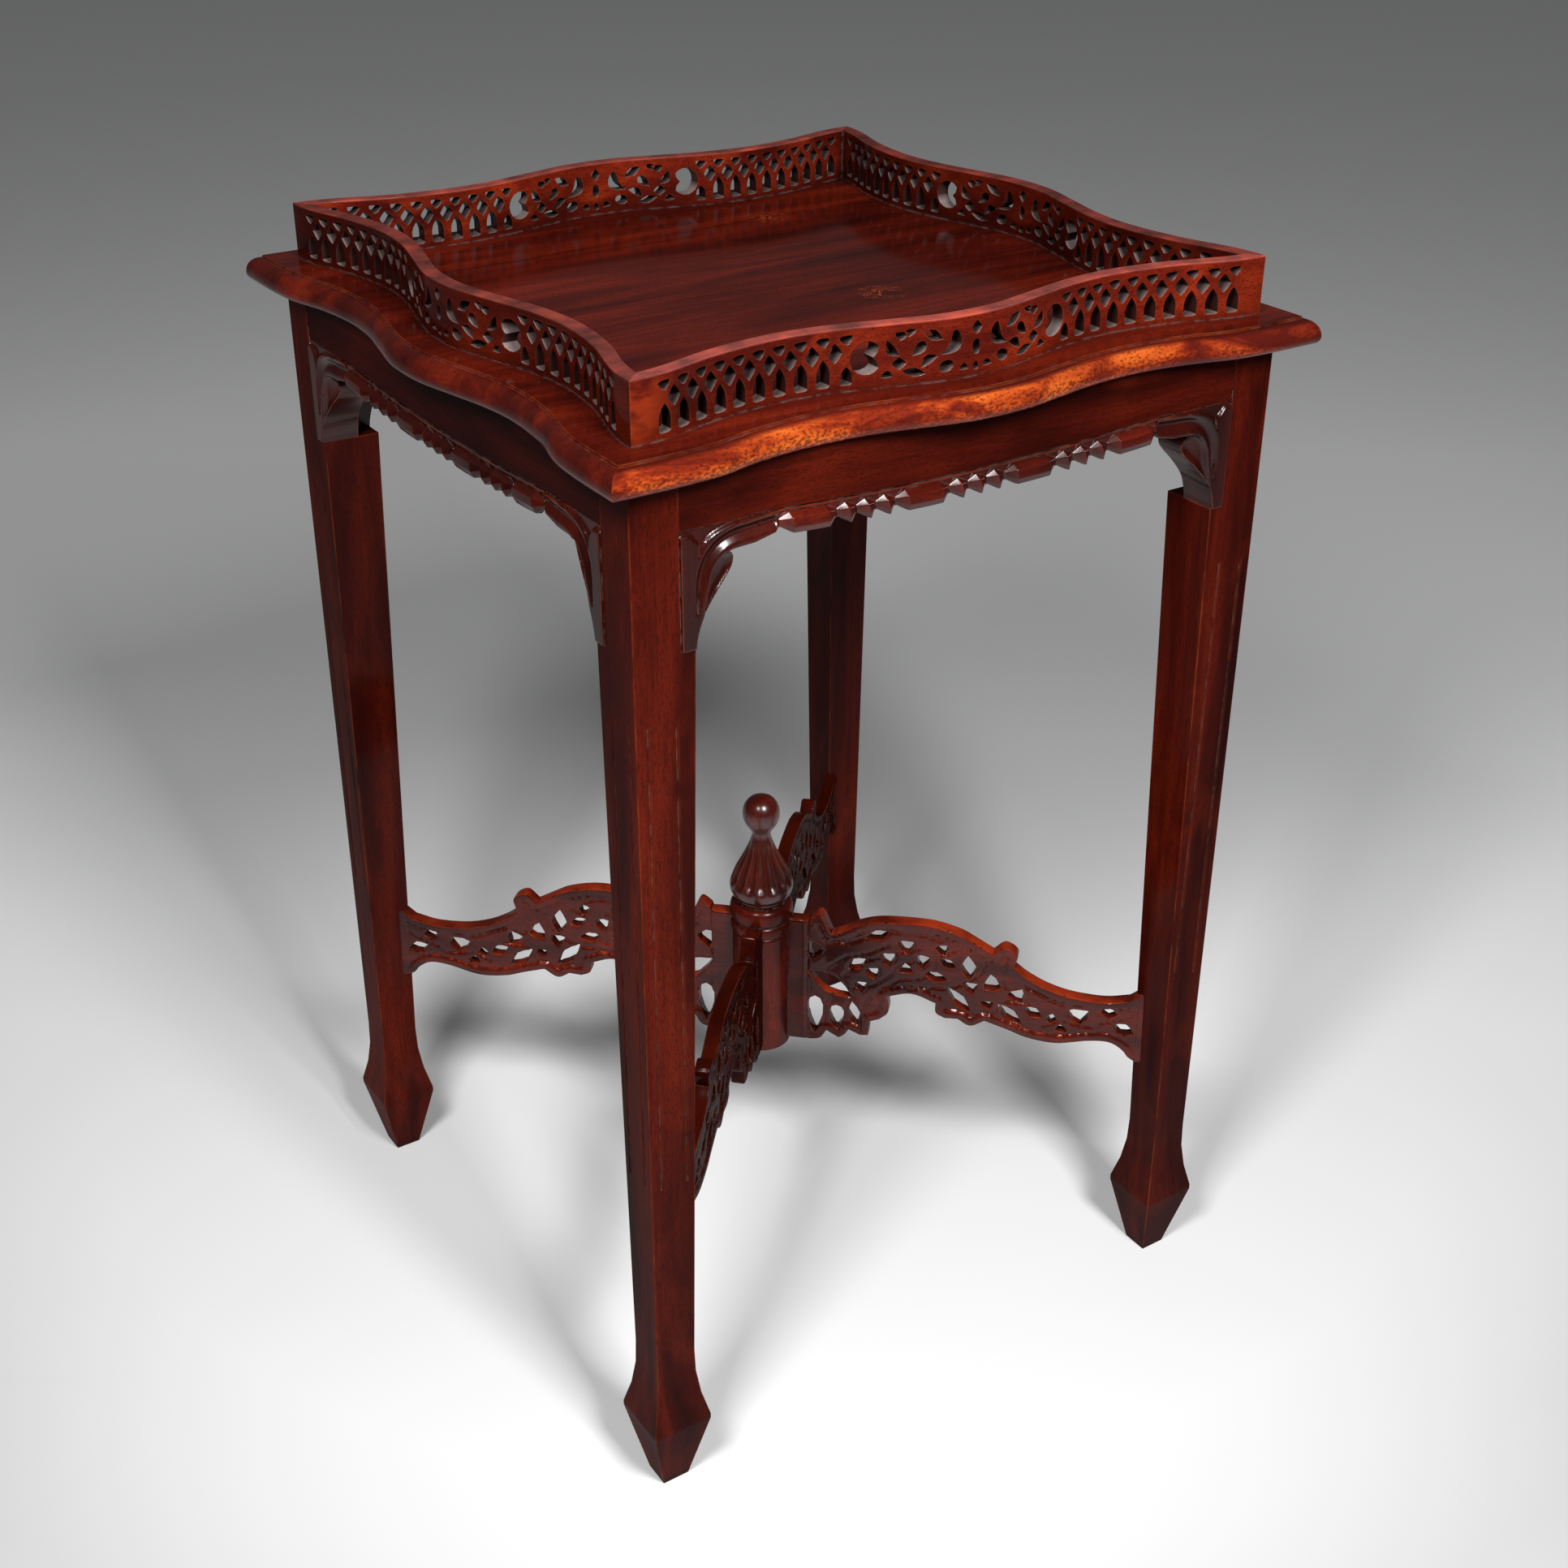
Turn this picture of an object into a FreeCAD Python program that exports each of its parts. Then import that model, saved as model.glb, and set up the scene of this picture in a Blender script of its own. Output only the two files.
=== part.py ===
import FreeCAD, Part
import math
import os
from FreeCAD import Vector

os.makedirs("parts", exist_ok=True)

# Main sizes, in millimetres
TABLE_HEIGHT = 720.0
GALLERY_HEIGHT = 33.6
TOP_THICKNESS = 16.0
TOP_HALF = 233.0
TOP_OVERHANG = 18.5

# Serpentine sides: where each waist lies on its half side, and how deep it is
TOP_WAIST_SHARE = 0.45
TOP_WAIST_DEPTH = 13.0
GALLERY_WAIST_SHARE = 0.54
GALLERY_WAIST_DEPTH = 17.5

# Moulded edge of the top
MOULDING_WIDTH = 8.5
QUIRK_STEP = 1.4

# Gallery
GALLERY_SETBACK = 25.5
GALLERY_THICKNESS = 9.0
GROOVE_DEPTH = 5.0
LATTICE_PITCH = 16.0
LATTICE_STILE = 20.5
LATTICE_SPAN_SHARE = 0.55
GALLERY_CHORDS = 16
TOP_CHORDS = 18
ARC_CHORDS = 3

# Legs
LEG_WIDTH = 37.0
LEDGE_DROP = 54.0
LEG_HEAD_WIDTH = 28.5
ANKLE_WIDTH = 26.5
ANKLE_HEIGHT = 106.0
SHOULDER_WIDTH = 40.0
SHOULDER_HEIGHT = 54.0
SHOULDER_LAND = 3.5
FOOT_TIP_WIDTH = 18.0
FLUTE_WIDTH = 2.2
FLUTE_DEPTH = 1.2
FLUTE_STOP_BELOW = 132.0
FLUTE_STOP_ABOVE = 37.5

# Aprons and the carved rails under them
APRON_SETBACK = 0.6
APRON_THICKNESS = 18.0
APRON_HEIGHT = 40.9
APRON_SAG = 4.5
TENON_LENGTH = 14.0
TENON_THICKNESS = 7.0
TENON_SHOULDER = 5.0
RAIL_HEIGHT = 11.0
RAIL_SEAT = 9.0
RAIL_SWELL = 3.6
REED_CHAMFER = 6.5
REED_GAP = 0.3
REED_COUNT = 4
BEAD_PITCH = 12.4
BEAD_COUNT = 3

# Corner brackets
BRACKET_REACH = 58.5
BRACKET_DEPTH = 23.0
BRACKET_PROUD = 1.4
BRACKET_HOLLOW = 3.0

# Stretcher arms
ARM_RUN_IN = 19.0
ARM_RISE = 107.5
ARM_BOTTOM = 144.0
ARM_THICKNESS = 10.0
ARM_TENON_DEPTH = 10.0
ARM_TENON_BOTTOM = 166.0
ARM_TENON_HEIGHT = 34.0
ARM_TENON_THICKNESS = 6.0
TONGUE_INNER = 13.0
TONGUE_OUTER = 26.0
TONGUE_BOTTOM = 152.0
TONGUE_TOP = 228.0
BEAD_LINE = 36.5
BEAD_LINE_WIDTH = 1.8
BEAD_LINE_DEPTH = 1.4

# Hub and finial
HUB_RADIUS = 20.3
HUB_BOTTOM = 139.0
HUB_RISE = 117.0
SPIGOT_RADIUS = 6.0
SPIGOT_LENGTH = 30.0
FINIAL_RISE = 80.5
FINIAL_RADIUS = 22.0
PETAL_COUNT = 16

# Glue blocks under the top
BLOCK_LENGTH = 46.0
BLOCK_SIZE = 15.0
BLOCK_PLACE_SHARE = 0.51

# How far cutting tools run past the face they cut
OVERRUN = 2.0

TOP_SURFACE = TABLE_HEIGHT - GALLERY_HEIGHT
TOP_UNDERSIDE = TOP_SURFACE - TOP_THICKNESS
TOP_WAIST_REACH = TOP_WAIST_SHARE * TOP_HALF
GALLERY_HALF = TOP_HALF - GALLERY_SETBACK
GALLERY_WAIST_REACH = GALLERY_WAIST_SHARE * GALLERY_HALF
LEG_OUTER = TOP_HALF - TOP_OVERHANG
LEG_JOINT = LEG_OUTER - LEG_HEAD_WIDTH
APRON_FACE = LEG_OUTER - APRON_SETBACK
APRON_EDGE = TOP_UNDERSIDE - APRON_HEIGHT
LEDGE_HEIGHT = APRON_EDGE - LEDGE_DROP
RAIL_HALF = LEG_JOINT - BRACKET_REACH
BRACKET_RISE = LEDGE_DROP + RAIL_HEIGHT
DIAGONAL = math.sqrt(2)
LEG_CORNER = (LEG_OUTER - LEG_WIDTH) * DIAGONAL
ARM_REACH = LEG_CORNER + ARM_RUN_IN
ORIGIN = Vector(0, 0, 0)
UP = Vector(0, 0, 1)
ALONG = Vector(1, 0, 0)
SIDES = ("front", "right", "back", "left")
CORNERS = ("front_left", "front_right", "back_right", "back_left")

# Places along half a serpentine side, from the corner to the middle, and the drop at each
WAVE_ALONG_SHARES = (1.66, 1.34, 1.0, 0.72, 0.42, 0.18, 0)
WAVE_DROP_SHARES = (0.13, 0.72, 1.0, 0.85, 0.38, 0, -0.08)

# Thumb moulding of the top, from its underside up: height and inset
NOSE_SHARES = ((0, 0.3), (0.16, 0), (0.5, 0.05), (0.78, 0.36), (0.9125, 1.0))

# Outlines of the small openings, in their own width and height
OPENING_SHARES = {
    "triangle": ((-0.5, 0.5), (0.5, 0.5), (0, -0.5)),
    "diamond": ((-0.5, 0), (0, 0.5), (0.5, 0), (0, -0.5)),
    "leaf": ((-0.5, 0), (0.12, 0.5), (0.5, 0), (-0.05, -0.5)),
    "drop": ((-0.5, 0.4), (-0.1, 0.5), (0.5, 0), (-0.1, -0.5), (-0.5, -0.4)),
    "kidney": ((-0.5, 0), (-0.2, 0.5), (0.5, 0.3), (0.1, 0), (0.3, -0.4), (-0.15, -0.5)),
    "hook": ((-0.5, 0), (0, 0.5), (0.5, 0.35), (0.3, 0), (0.5, -0.5), (0, -0.1)),
}

# One column of the lattice: kind, place in the pitch, height, width, height of opening, turn
LATTICE_SHARES = (
    ("triangle", 0, 0.79, 0.72, 0.2, 0),
    ("triangle", 0, 0.3, 0.72, 0.42, 180),
    ("diamond", 0.5, 0.58, 0.62, 0.27, 0),
)

# Scrollwork in the middle of a gallery side: kind, place along, height, width, height of opening, lean
FOLIAGE_SHARES = (
    ("kidney", 0.300, 0.50, 0.080, 0.50, 0),
    ("triangle", 0.220, 0.74, 0.060, 0.22, 0),
    ("triangle", 0.232, 0.28, 0.060, 0.22, 180),
    ("leaf", 0.165, 0.30, 0.075, 0.20, -8),
    ("leaf", 0.145, 0.66, 0.080, 0.28, 25),
    ("hook", 0.076, 0.60, 0.074, 0.44, 0),
)
CENTRE_SHARES = (
    ("diamond", 0, 0.62, 0.040, 0.34, 0),
)

# Outline of a stretcher arm, in shares of its reach and rise
ARM_OUTLINE_SHARES = (
    ("line", (0.063, 0)),
    ("line", (0.133, 0)),
    ("line", (0.165, 0.03)),
    ("line", (0.178, 0.084)),
    ("line", (0.211, 0.037)),
    ("line", (0.237, 0.112)),
    ("line", (0.289, 0.084)),
    ("line", (0.293, 0.195)),
    ("line", (0.319, 0.223)),
    ("line", (0.341, 0.295)),
    ("line", (0.335, 0.409)),
    ("arc", (0.4, 0.451), (0.463, 0.4)),
    ("line", (0.463, 0.326)),
    ("line", (0.489, 0.293)),
    ("line", (0.522, 0.298)),
    ("line", (0.556, 0.256)),
    ("line", (0.593, 0.307)),
    ("arc", (0.72, 0.207), (0.859, 0.247)),
    ("line", (0.911, 0.256)),
    ("line", (0.944, 0.21)),
    ("line", (0.97, 0.14)),
    ("line", (1.007, 0.158)),
    ("line", (1.048, 0.158)),
    ("line", (1.048, 0.577)),
    ("line", (1.019, 0.595)),
    ("line", (0.993, 0.65)),
    ("line", (0.956, 0.591)),
    ("arc", (0.8, 0.575), (0.659, 0.744)),
    ("line", (0.668, 0.83)),
    ("line", (0.645, 0.88)),
    ("line", (0.604, 0.828)),
    ("arc", (0.4, 1), (0.189, 0.842)),
    ("line", (0.178, 0.93)),
    ("line", (0.155, 0.99)),
    ("line", (0.13, 0.94)),
    ("line", (0.063, 0.93)),
)

# Openings of a stretcher arm: kind, place along its reach, place up its rise, length, width, turn
ARM_OPENING_SHARES = (
    ("triangle", 0.141, 0.707, 0.12, 0.09, 90),
    ("leaf", 0.185, 0.456, 0.233, 0.1, -32),
    ("drop", 0.143, 0.205, 0.205, 0.084, -90),
    ("triangle", 0.204, 0.2, 0.1, 0.126, 0),
    ("triangle", 0.267, 0.465, 0.075, 0.075, 0),
    ("leaf", 0.262, 0.65, 0.12, 0.07, 38),
    ("triangle", 0.335, 0.698, 0.09, 0.09, 0),
    ("triangle", 0.381, 0.83, 0.1, 0.085, 0),
    ("leaf", 0.486, 0.76, 0.12, 0.075, -25),
    ("triangle", 0.544, 0.698, 0.149, 0.08, -85),
    ("leaf", 0.522, 0.465, 0.172, 0.07, -48),
    ("triangle", 0.606, 0.595, 0.1, 0.11, 180),
    ("leaf", 0.65, 0.386, 0.155, 0.065, -45),
    ("leaf", 0.719, 0.414, 0.14, 0.085, -28),
    ("triangle", 0.83, 0.423, 0.13, 0.107, 0),
    ("leaf", 0.925, 0.43, 0.12, 0.07, -12),
)

# Outline of a corner bracket seen from the front, from its foot on the ledge
BRACKET_OUTLINE_SHARES = (
    ("line", (0, 0)),
    ("line", (0.149, 0)),
    ("line", (0.168, 0.092)),
    ("line", (0.237, 0.26)),
    ("line", (0.395, 0.412)),
    ("line", (0.509, 0.519)),
    ("line", (0.555, 0.6)),
    ("line", (0.548, 0.68)),
    ("line", (0.482, 0.756)),
    ("line", (0.772, 0.768)),
    ("line", (0.912, 0.786)),
    ("line", (0.982, 0.855)),
    ("line", (1, 1)),
    ("line", (0, 1)),
)
NOTCH_SHARES = ((-0.05, 1.05), (-0.05, 0.947), (0.105, 0.956), (0.182, 0.885), (0.181, 0.737),
                (0.214, 0.847), (0.281, 0.936), (0.421, 0.982), (0.667, 1), (0.667, 1.05))
LEAF_HOLLOW_SHARES = ((0.2, 0.07), (0.27, 0.27), (0.47, 0.51), (0.48, 0.65), (0.4, 0.7), (0.27, 0.6))
SCROLL_HOLLOW_SHARES = ((0.25, 0.79), (0.36, 0.82), (0.74, 0.82), (0.84, 0.87), (0.84, 0.94),
                        (0.45, 0.93), (0.31, 0.88))

# Turned outlines, from the bottom up: radius and height
HUB_SHARES = ((0.92, 0), (1, 0.014), (1, 0.795), (1.06, 0.84), (0.96, 0.88), (1.09, 0.92),
              (1.09, 0.965), (0.82, 1))
BASE_SHARES = ((0.76, 0), (0.78, 0.035), (1, 0.13), (0.97, 0.19))
BELL_SHARES = ((0.97, 0.19), (0.82, 0.31), (0.62, 0.42), (0.41, 0.53), (0.3, 0.6))
BALL_SHARES = ((0.3, 0.6), (0.3, 0.64), (0.5, 0.74), (0.582, 0.841), (0.5, 0.935), (0.3, 0.985), (0.12, 1))
PETAL_DIP_SHARE = 0.12

# Section of a reed on the carved rail, from its lower edge up: swell and height; its ends taper to a point
REED_SHARES = ((0, -0.14), (0.9, 0.02), (0.9, 0.66), (0, 0.92))
REED_POINT_SHARE = 0.4
SAG_SHARES = (-1, -0.5, 0, 0.5, 1)

# Grooves across the width of a leg, and the hollow of its instep
FLUTE_SHARES = (0.23, 0.77)
INSTEP_UP_SHARE = 0.42
INSTEP_OUT_SHARE = 0.28


def turned(shape, quarters):
    """The same shape a number of quarter turns round the middle of the table."""
    copy = shape.copy()
    copy.rotate(ORIGIN, UP, 90 * quarters)
    return copy


def save(shape, name):
    shape.exportStep("parts/" + name + ".step")


def traced(steps, place):
    """A closed wire through lines and arcs whose points place() puts in space; arcs go in chords."""
    points = [place(*steps[0][1])]
    for step in steps[1:]:
        ends = [place(*point) for point in step[1:]]
        if step[0] == "line":
            points.append(ends[0])
        else:
            points.extend(Part.Arc(points[-1], *ends).toShape().discretize(Number=ARC_CHORDS + 1)[1:])
    return ring_of_points(points)


def ring_of_points(points):
    return Part.makePolygon(list(points) + [points[0]])


def serpentine(half, reach, depth, z):
    """One side of a serpentine plan, the front one, from its left corner to its right."""
    left = [Vector(-half, -half, z)]
    for along, drop in zip(WAVE_ALONG_SHARES, WAVE_DROP_SHARES):
        left.append(Vector(-along * reach, drop * depth - half, z))
    right = [Vector(-point.x, point.y, z) for point in reversed(left[:-1])]
    curve = Part.BSplineCurve()
    curve.interpolate(Points=left + right, InitialTangent=ALONG, FinalTangent=ALONG)
    return curve.toShape()


def top_outline(inset, z):
    side = serpentine(TOP_HALF - inset, TOP_WAIST_REACH, TOP_WAIST_DEPTH, z)
    chords = Part.makePolygon(side.discretize(Number=TOP_CHORDS + 1))
    return Part.Wire([edge for quarters in range(4) for edge in turned(chords, quarters).Edges])


def gallery_plan(z):
    """Plan of one mitred gallery side."""
    outer = serpentine(GALLERY_HALF, GALLERY_WAIST_REACH, GALLERY_WAIST_DEPTH, z)
    inner = serpentine(GALLERY_HALF - GALLERY_THICKNESS, GALLERY_WAIST_REACH, GALLERY_WAIST_DEPTH, z)
    there = outer.discretize(Number=GALLERY_CHORDS + 1)
    back = inner.discretize(Number=GALLERY_CHORDS + 1)
    return Part.Face(ring_of_points(there + back[::-1]))


def gallery_blank():
    blank = gallery_plan(TOP_SURFACE - GROOVE_DEPTH)
    return blank.extrude(UP * (GALLERY_HEIGHT + GROOVE_DEPTH))


def opening(kind, width, height, turn, place):
    """One sawn opening, as a wire in the plane that place() lays down."""
    cosine = math.cos(math.radians(turn))
    sine = math.sin(math.radians(turn))
    points = []
    for across, up in OPENING_SHARES[kind]:
        x = across * width
        z = up * height
        points.append(place(x * cosine - z * sine, x * sine + z * cosine))
    return ring_of_points(points)


def gallery_openings():
    """Every opening of one side: two lattices and the scrollwork between them."""
    near = -GALLERY_HALF - OVERRUN
    found = []

    def add(kind, x, share, width, height_share, turn):
        z = TOP_SURFACE + share * GALLERY_HEIGHT
        height = height_share * GALLERY_HEIGHT
        wire = opening(kind, width, height, turn, lambda across, up: Vector(x + across, near, z + up))
        found.append(Part.Face(wire))

    columns = int(LATTICE_SPAN_SHARE * GALLERY_HALF / LATTICE_PITCH) + 1
    for sign in (-1, 1):
        for column in range(columns):
            for kind, across, share, wide, high, lean in LATTICE_SHARES:
                x = GALLERY_HALF - LATTICE_STILE - (column + across) * LATTICE_PITCH
                if across == 0 or column < columns - 1:
                    add(kind, sign * x, share, wide * LATTICE_PITCH, high, lean)
        for kind, along, share, wide, high, lean in FOLIAGE_SHARES:
            x = sign * along * GALLERY_HALF
            width = -sign * wide * GALLERY_HALF
            add(kind, x, share, width, high, -sign * lean)
    for kind, along, share, wide, high, lean in CENTRE_SHARES:
        add(kind, along * GALLERY_HALF, share, wide * GALLERY_HALF, high, lean)
    run = Vector(0, GALLERY_WAIST_DEPTH + GALLERY_THICKNESS + OVERRUN + OVERRUN, 0)
    return Part.makeCompound([face.extrude(run) for face in found])


def gallery_side():
    return gallery_blank().cut(gallery_openings())


def glue_blocks():
    """Blocks rubbed into the angle between each apron and the underside of the top."""
    blocks = []
    for x in (-BLOCK_PLACE_SHARE * LEG_JOINT, BLOCK_PLACE_SHARE * LEG_JOINT):
        corner = Vector(x - BLOCK_LENGTH / 2, APRON_THICKNESS - APRON_FACE, TOP_UNDERSIDE - BLOCK_SIZE)
        blocks.append(Part.makeBox(BLOCK_LENGTH, BLOCK_SIZE, BLOCK_SIZE, corner))
    return Part.makeCompound([turned(block, quarters) for quarters in range(4) for block in blocks])


def top_panel():
    """The top board: thumb-moulded serpentine edge, quirk, and a groove for the gallery."""
    sections = []
    for up, inset in NOSE_SHARES:
        sections.append(top_outline(inset * MOULDING_WIDTH, TOP_UNDERSIDE + up * TOP_THICKNESS))
    board = Part.makeLoft(sections, True, True)
    field = Part.Face(top_outline(MOULDING_WIDTH, TOP_SURFACE - QUIRK_STEP)).extrude(UP * QUIRK_STEP)
    board = board.fuse(field)
    for quarters in range(4):
        board = board.cut(turned(gallery_blank(), quarters))
    return board


def leg_silhouette():
    """Front view of the front left leg: spade foot, hollow instep, tapered shaft, ledge and head."""
    ankle = ANKLE_WIDTH / 2 - LEG_OUTER
    instep = (ANKLE_HEIGHT - SHOULDER_HEIGHT) * INSTEP_UP_SHARE + SHOULDER_HEIGHT
    spread = ANKLE_WIDTH / 2 + (SHOULDER_WIDTH - ANKLE_WIDTH) / 2 * INSTEP_OUT_SHARE
    land = SHOULDER_HEIGHT - SHOULDER_LAND
    tip = FOOT_TIP_WIDTH / 2
    shoulder = SHOULDER_WIDTH / 2
    place = lambda x, z: Vector(x, 0, z)
    return traced((
        ("line", (ankle - tip, 0)),
        ("line", (ankle + tip, 0)),
        ("line", (ankle + shoulder, land)),
        ("line", (ankle + shoulder, SHOULDER_HEIGHT)),
        ("arc", (ankle + spread, instep), (ankle + ANKLE_WIDTH / 2, ANKLE_HEIGHT)),
        ("line", (LEG_WIDTH - LEG_OUTER, LEDGE_HEIGHT)),
        ("line", (-LEG_JOINT, LEDGE_HEIGHT)),
        ("line", (-LEG_JOINT, TOP_UNDERSIDE)),
        ("line", (-LEG_OUTER, TOP_UNDERSIDE)),
        ("line", (-LEG_OUTER, ANKLE_HEIGHT)),
        ("arc", (ankle - spread, instep), (ankle - shoulder, SHOULDER_HEIGHT)),
        ("line", (ankle - shoulder, land)),
    ), place)


def leg_core():
    """Front left leg before its mortises: the same silhouette sawn from both outer faces."""
    front = Part.Face(leg_silhouette()).extrude(Vector(0, -LEG_OUTER - SHOULDER_WIDTH, 0))
    return front.common(across_diagonal(front))


def across_diagonal(shape):
    return shape.mirror(ORIGIN, Vector(1, -1, 0))


def leg_flutes():
    """Two incised grooves on each of the two outer faces of the front left leg."""
    half = FLUTE_WIDTH / 2 * (FLUTE_DEPTH + OVERRUN) / FLUTE_DEPTH
    tools = []
    for share in FLUTE_SHARES:
        x = share * (LEG_WIDTH + ANKLE_WIDTH) / 2 - LEG_OUTER
        outside = -LEG_OUTER - OVERRUN
        bottom = ANKLE_HEIGHT + FLUTE_STOP_BELOW
        corners = [Vector(x - half, outside, bottom), Vector(x + half, outside, bottom),
                   Vector(x, FLUTE_DEPTH - LEG_OUTER, bottom)]
        groove = Part.Face(ring_of_points(corners)).extrude(UP * (LEDGE_HEIGHT - FLUTE_STOP_ABOVE - bottom))
        tools.append(groove)
        tools.append(across_diagonal(groove))
    return tools


def apron_tenon_box():
    """Tenon on the left end of the front apron, reaching into the leg."""
    y = (APRON_THICKNESS - TENON_THICKNESS) / 2 - APRON_FACE
    bottom = APRON_EDGE + RAIL_HEIGHT + TENON_SHOULDER
    height = TOP_UNDERSIDE - TENON_SHOULDER - bottom
    length = TENON_LENGTH + TENON_LENGTH
    return Part.makeBox(length, TENON_THICKNESS, height, Vector(-LEG_JOINT - TENON_LENGTH, y, bottom))


def leg():
    """Front left leg with the mortises for two aprons and one stretcher arm."""
    mortise = apron_tenon_box()
    tools = leg_flutes() + [mortise, across_diagonal(mortise), arm_tenon()]
    return leg_core().cut(tools)


def apron_sag(x):
    """How far the lower edge of an apron hangs down at a place along it."""
    return APRON_SAG * max(0, 1 - (x / RAIL_HALF) ** 2)


def apron_face_wire(raise_by, y, reach):
    """Front view of an apron above its sagging lower edge."""
    low = APRON_EDGE + raise_by
    edge = [Vector(share * RAIL_HALF, y, low - apron_sag(share * RAIL_HALF)) for share in SAG_SHARES]
    ends = [Vector(reach, y, low), Vector(reach, y, TOP_UNDERSIDE), Vector(-reach, y, TOP_UNDERSIDE),
            Vector(-reach, y, low)]
    return ring_of_points(edge + ends)


def apron():
    """Front apron: a rebate along its lower edge takes the carved rail and the brackets."""
    back = Part.Face(apron_face_wire(0, RAIL_SEAT - APRON_FACE, LEG_JOINT))
    back = back.extrude(Vector(0, APRON_THICKNESS - RAIL_SEAT, 0))
    front = Part.Face(apron_face_wire(RAIL_HEIGHT, -APRON_FACE, LEG_JOINT))
    board = back.fuse(front.extrude(Vector(0, RAIL_SEAT, 0)))
    tenon = apron_tenon_box()
    board = board.fuse([tenon, tenon.mirror(ORIGIN, Vector(1, 0, 0))]).removeSplitter()
    return board


def reed(start, end, chamfers):
    """One carved reed or bead of the rail, tapering to a point at both ends from the places given."""
    low = APRON_EDGE - apron_sag((start + end) / 2)
    rise = low + REED_POINT_SHARE * RAIL_HEIGHT
    stations = [Part.Vertex(Vector(start, -APRON_FACE, rise))]
    for x in chamfers:
        points = [Vector(x, -APRON_FACE - out * RAIL_SWELL, low + up * RAIL_HEIGHT) for out, up in REED_SHARES]
        stations.append(ring_of_points(points))
    stations.append(Part.Vertex(Vector(end, -APRON_FACE, rise)))
    return Part.makeLoft(stations, True, True)


def carved_rail():
    """Rail of long reeds with groups of short beads between them."""
    back = RAIL_SEAT - APRON_FACE
    edge = []
    for share in SAG_SHARES:
        edge.append(Vector(share * RAIL_HALF, back, APRON_EDGE - apron_sag(share * RAIL_HALF)))
    upper = [point + UP * RAIL_HEIGHT for point in reversed(edge)]
    backing = Part.Face(ring_of_points(edge + upper)).extrude(Vector(0, -RAIL_SEAT, 0))
    group = BEAD_PITCH * BEAD_COUNT
    long = (RAIL_HALF + RAIL_HALF - group * (REED_COUNT - 1)) / REED_COUNT
    reeds = []
    x = -RAIL_HALF
    for place in range(REED_COUNT):
        reeds.append(reed(x + REED_GAP, x + long - REED_GAP, (x + REED_CHAMFER, x + long - REED_CHAMFER)))
        x = x + long
        if place < REED_COUNT - 1:
            for bead in range(BEAD_COUNT):
                reeds.append(reed(x + REED_GAP, x + BEAD_PITCH - REED_GAP, (x + BEAD_PITCH / 2,)))
                x = x + BEAD_PITCH
    corner = Vector(-RAIL_HALF, -APRON_FACE - APRON_THICKNESS, LEDGE_HEIGHT)
    limit = Part.makeBox(RAIL_HALF + RAIL_HALF, APRON_FACE, APRON_FACE, corner)
    return backing.fuse(reeds).common(limit).removeSplitter()


def bracket_place(y):
    """Lays bracket shares down in the plane at y, beside the front left leg."""
    return lambda across, up: Vector(across * BRACKET_REACH - LEG_JOINT, y, LEDGE_HEIGHT + up * BRACKET_RISE)


def hollow(steps, face, depth):
    """A recess of one outline, sunk into the front of the bracket."""
    place = bracket_place(face)
    outline = ring_of_points([place(*point) for point in steps])
    return Part.Face(outline).extrude(Vector(0, depth, 0))


def bracket():
    """Left bracket of the front: a leaf on the ledge, a scroll running on to the rail, a notch between."""
    front = -LEG_OUTER - BRACKET_PROUD
    outline = Part.Face(traced(BRACKET_OUTLINE_SHARES, bracket_place(front)))
    seat = RAIL_SEAT - APRON_FACE - front
    thin = outline.extrude(Vector(0, seat, 0))
    thick = outline.extrude(Vector(0, BRACKET_DEPTH + BRACKET_PROUD, 0))
    leaf_high = APRON_EDGE - LEDGE_HEIGHT
    corner = Vector(-LEG_JOINT, front, LEDGE_HEIGHT)
    below = Part.makeBox(BRACKET_REACH, BRACKET_DEPTH + BRACKET_PROUD, leaf_high, corner)
    body = thin.fuse(thick.common(below)).removeSplitter()
    recess = hollow(LEAF_HOLLOW_SHARES, front, BRACKET_HOLLOW)
    channel = hollow(SCROLL_HOLLOW_SHARES, front, BRACKET_HOLLOW)
    notch = hollow(NOTCH_SHARES, front, BRACKET_PROUD + APRON_SETBACK)
    return body.cut([recess, channel, notch])


def turning(shares, radius, base, rise, dip=0):
    """A turned length from a table of radii and heights; a dip gives it petals instead of a round."""
    rings = []
    for wide, up in shares:
        points = []
        for step in range(PETAL_COUNT + PETAL_COUNT):
            angle = math.pi * step / PETAL_COUNT
            reach = wide * radius * (1 - dip * (step % 2))
            points.append(Vector(reach * math.cos(angle), reach * math.sin(angle), base + up * rise))
        rings.append(points)
    faces = [Part.Face(ring_of_points(rings[0])), Part.Face(ring_of_points(rings[-1]))]
    for lower, upper in zip(rings, rings[1:]):
        for step in range(len(lower)):
            corners = [lower[step - 1], lower[step], upper[step], upper[step - 1]]
            faces.append(Part.Face(ring_of_points(corners)))
    shell = Part.makeShell(faces)
    shell.sewShape()
    return Part.makeSolid(shell)


def hub_core():
    """The turned hub before it is bored and slotted."""
    return turning(HUB_SHARES, HUB_RADIUS, HUB_BOTTOM, HUB_RISE)


def spigot():
    top = Vector(0, 0, HUB_BOTTOM + HUB_RISE - SPIGOT_LENGTH)
    return Part.makeCylinder(SPIGOT_RADIUS, SPIGOT_LENGTH, top, UP)


def along_arm(shape):
    """Turns a shape made along +X on to the diagonal of the front left leg."""
    copy = shape.copy()
    copy.rotate(ORIGIN, UP, 225)
    return copy


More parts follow.
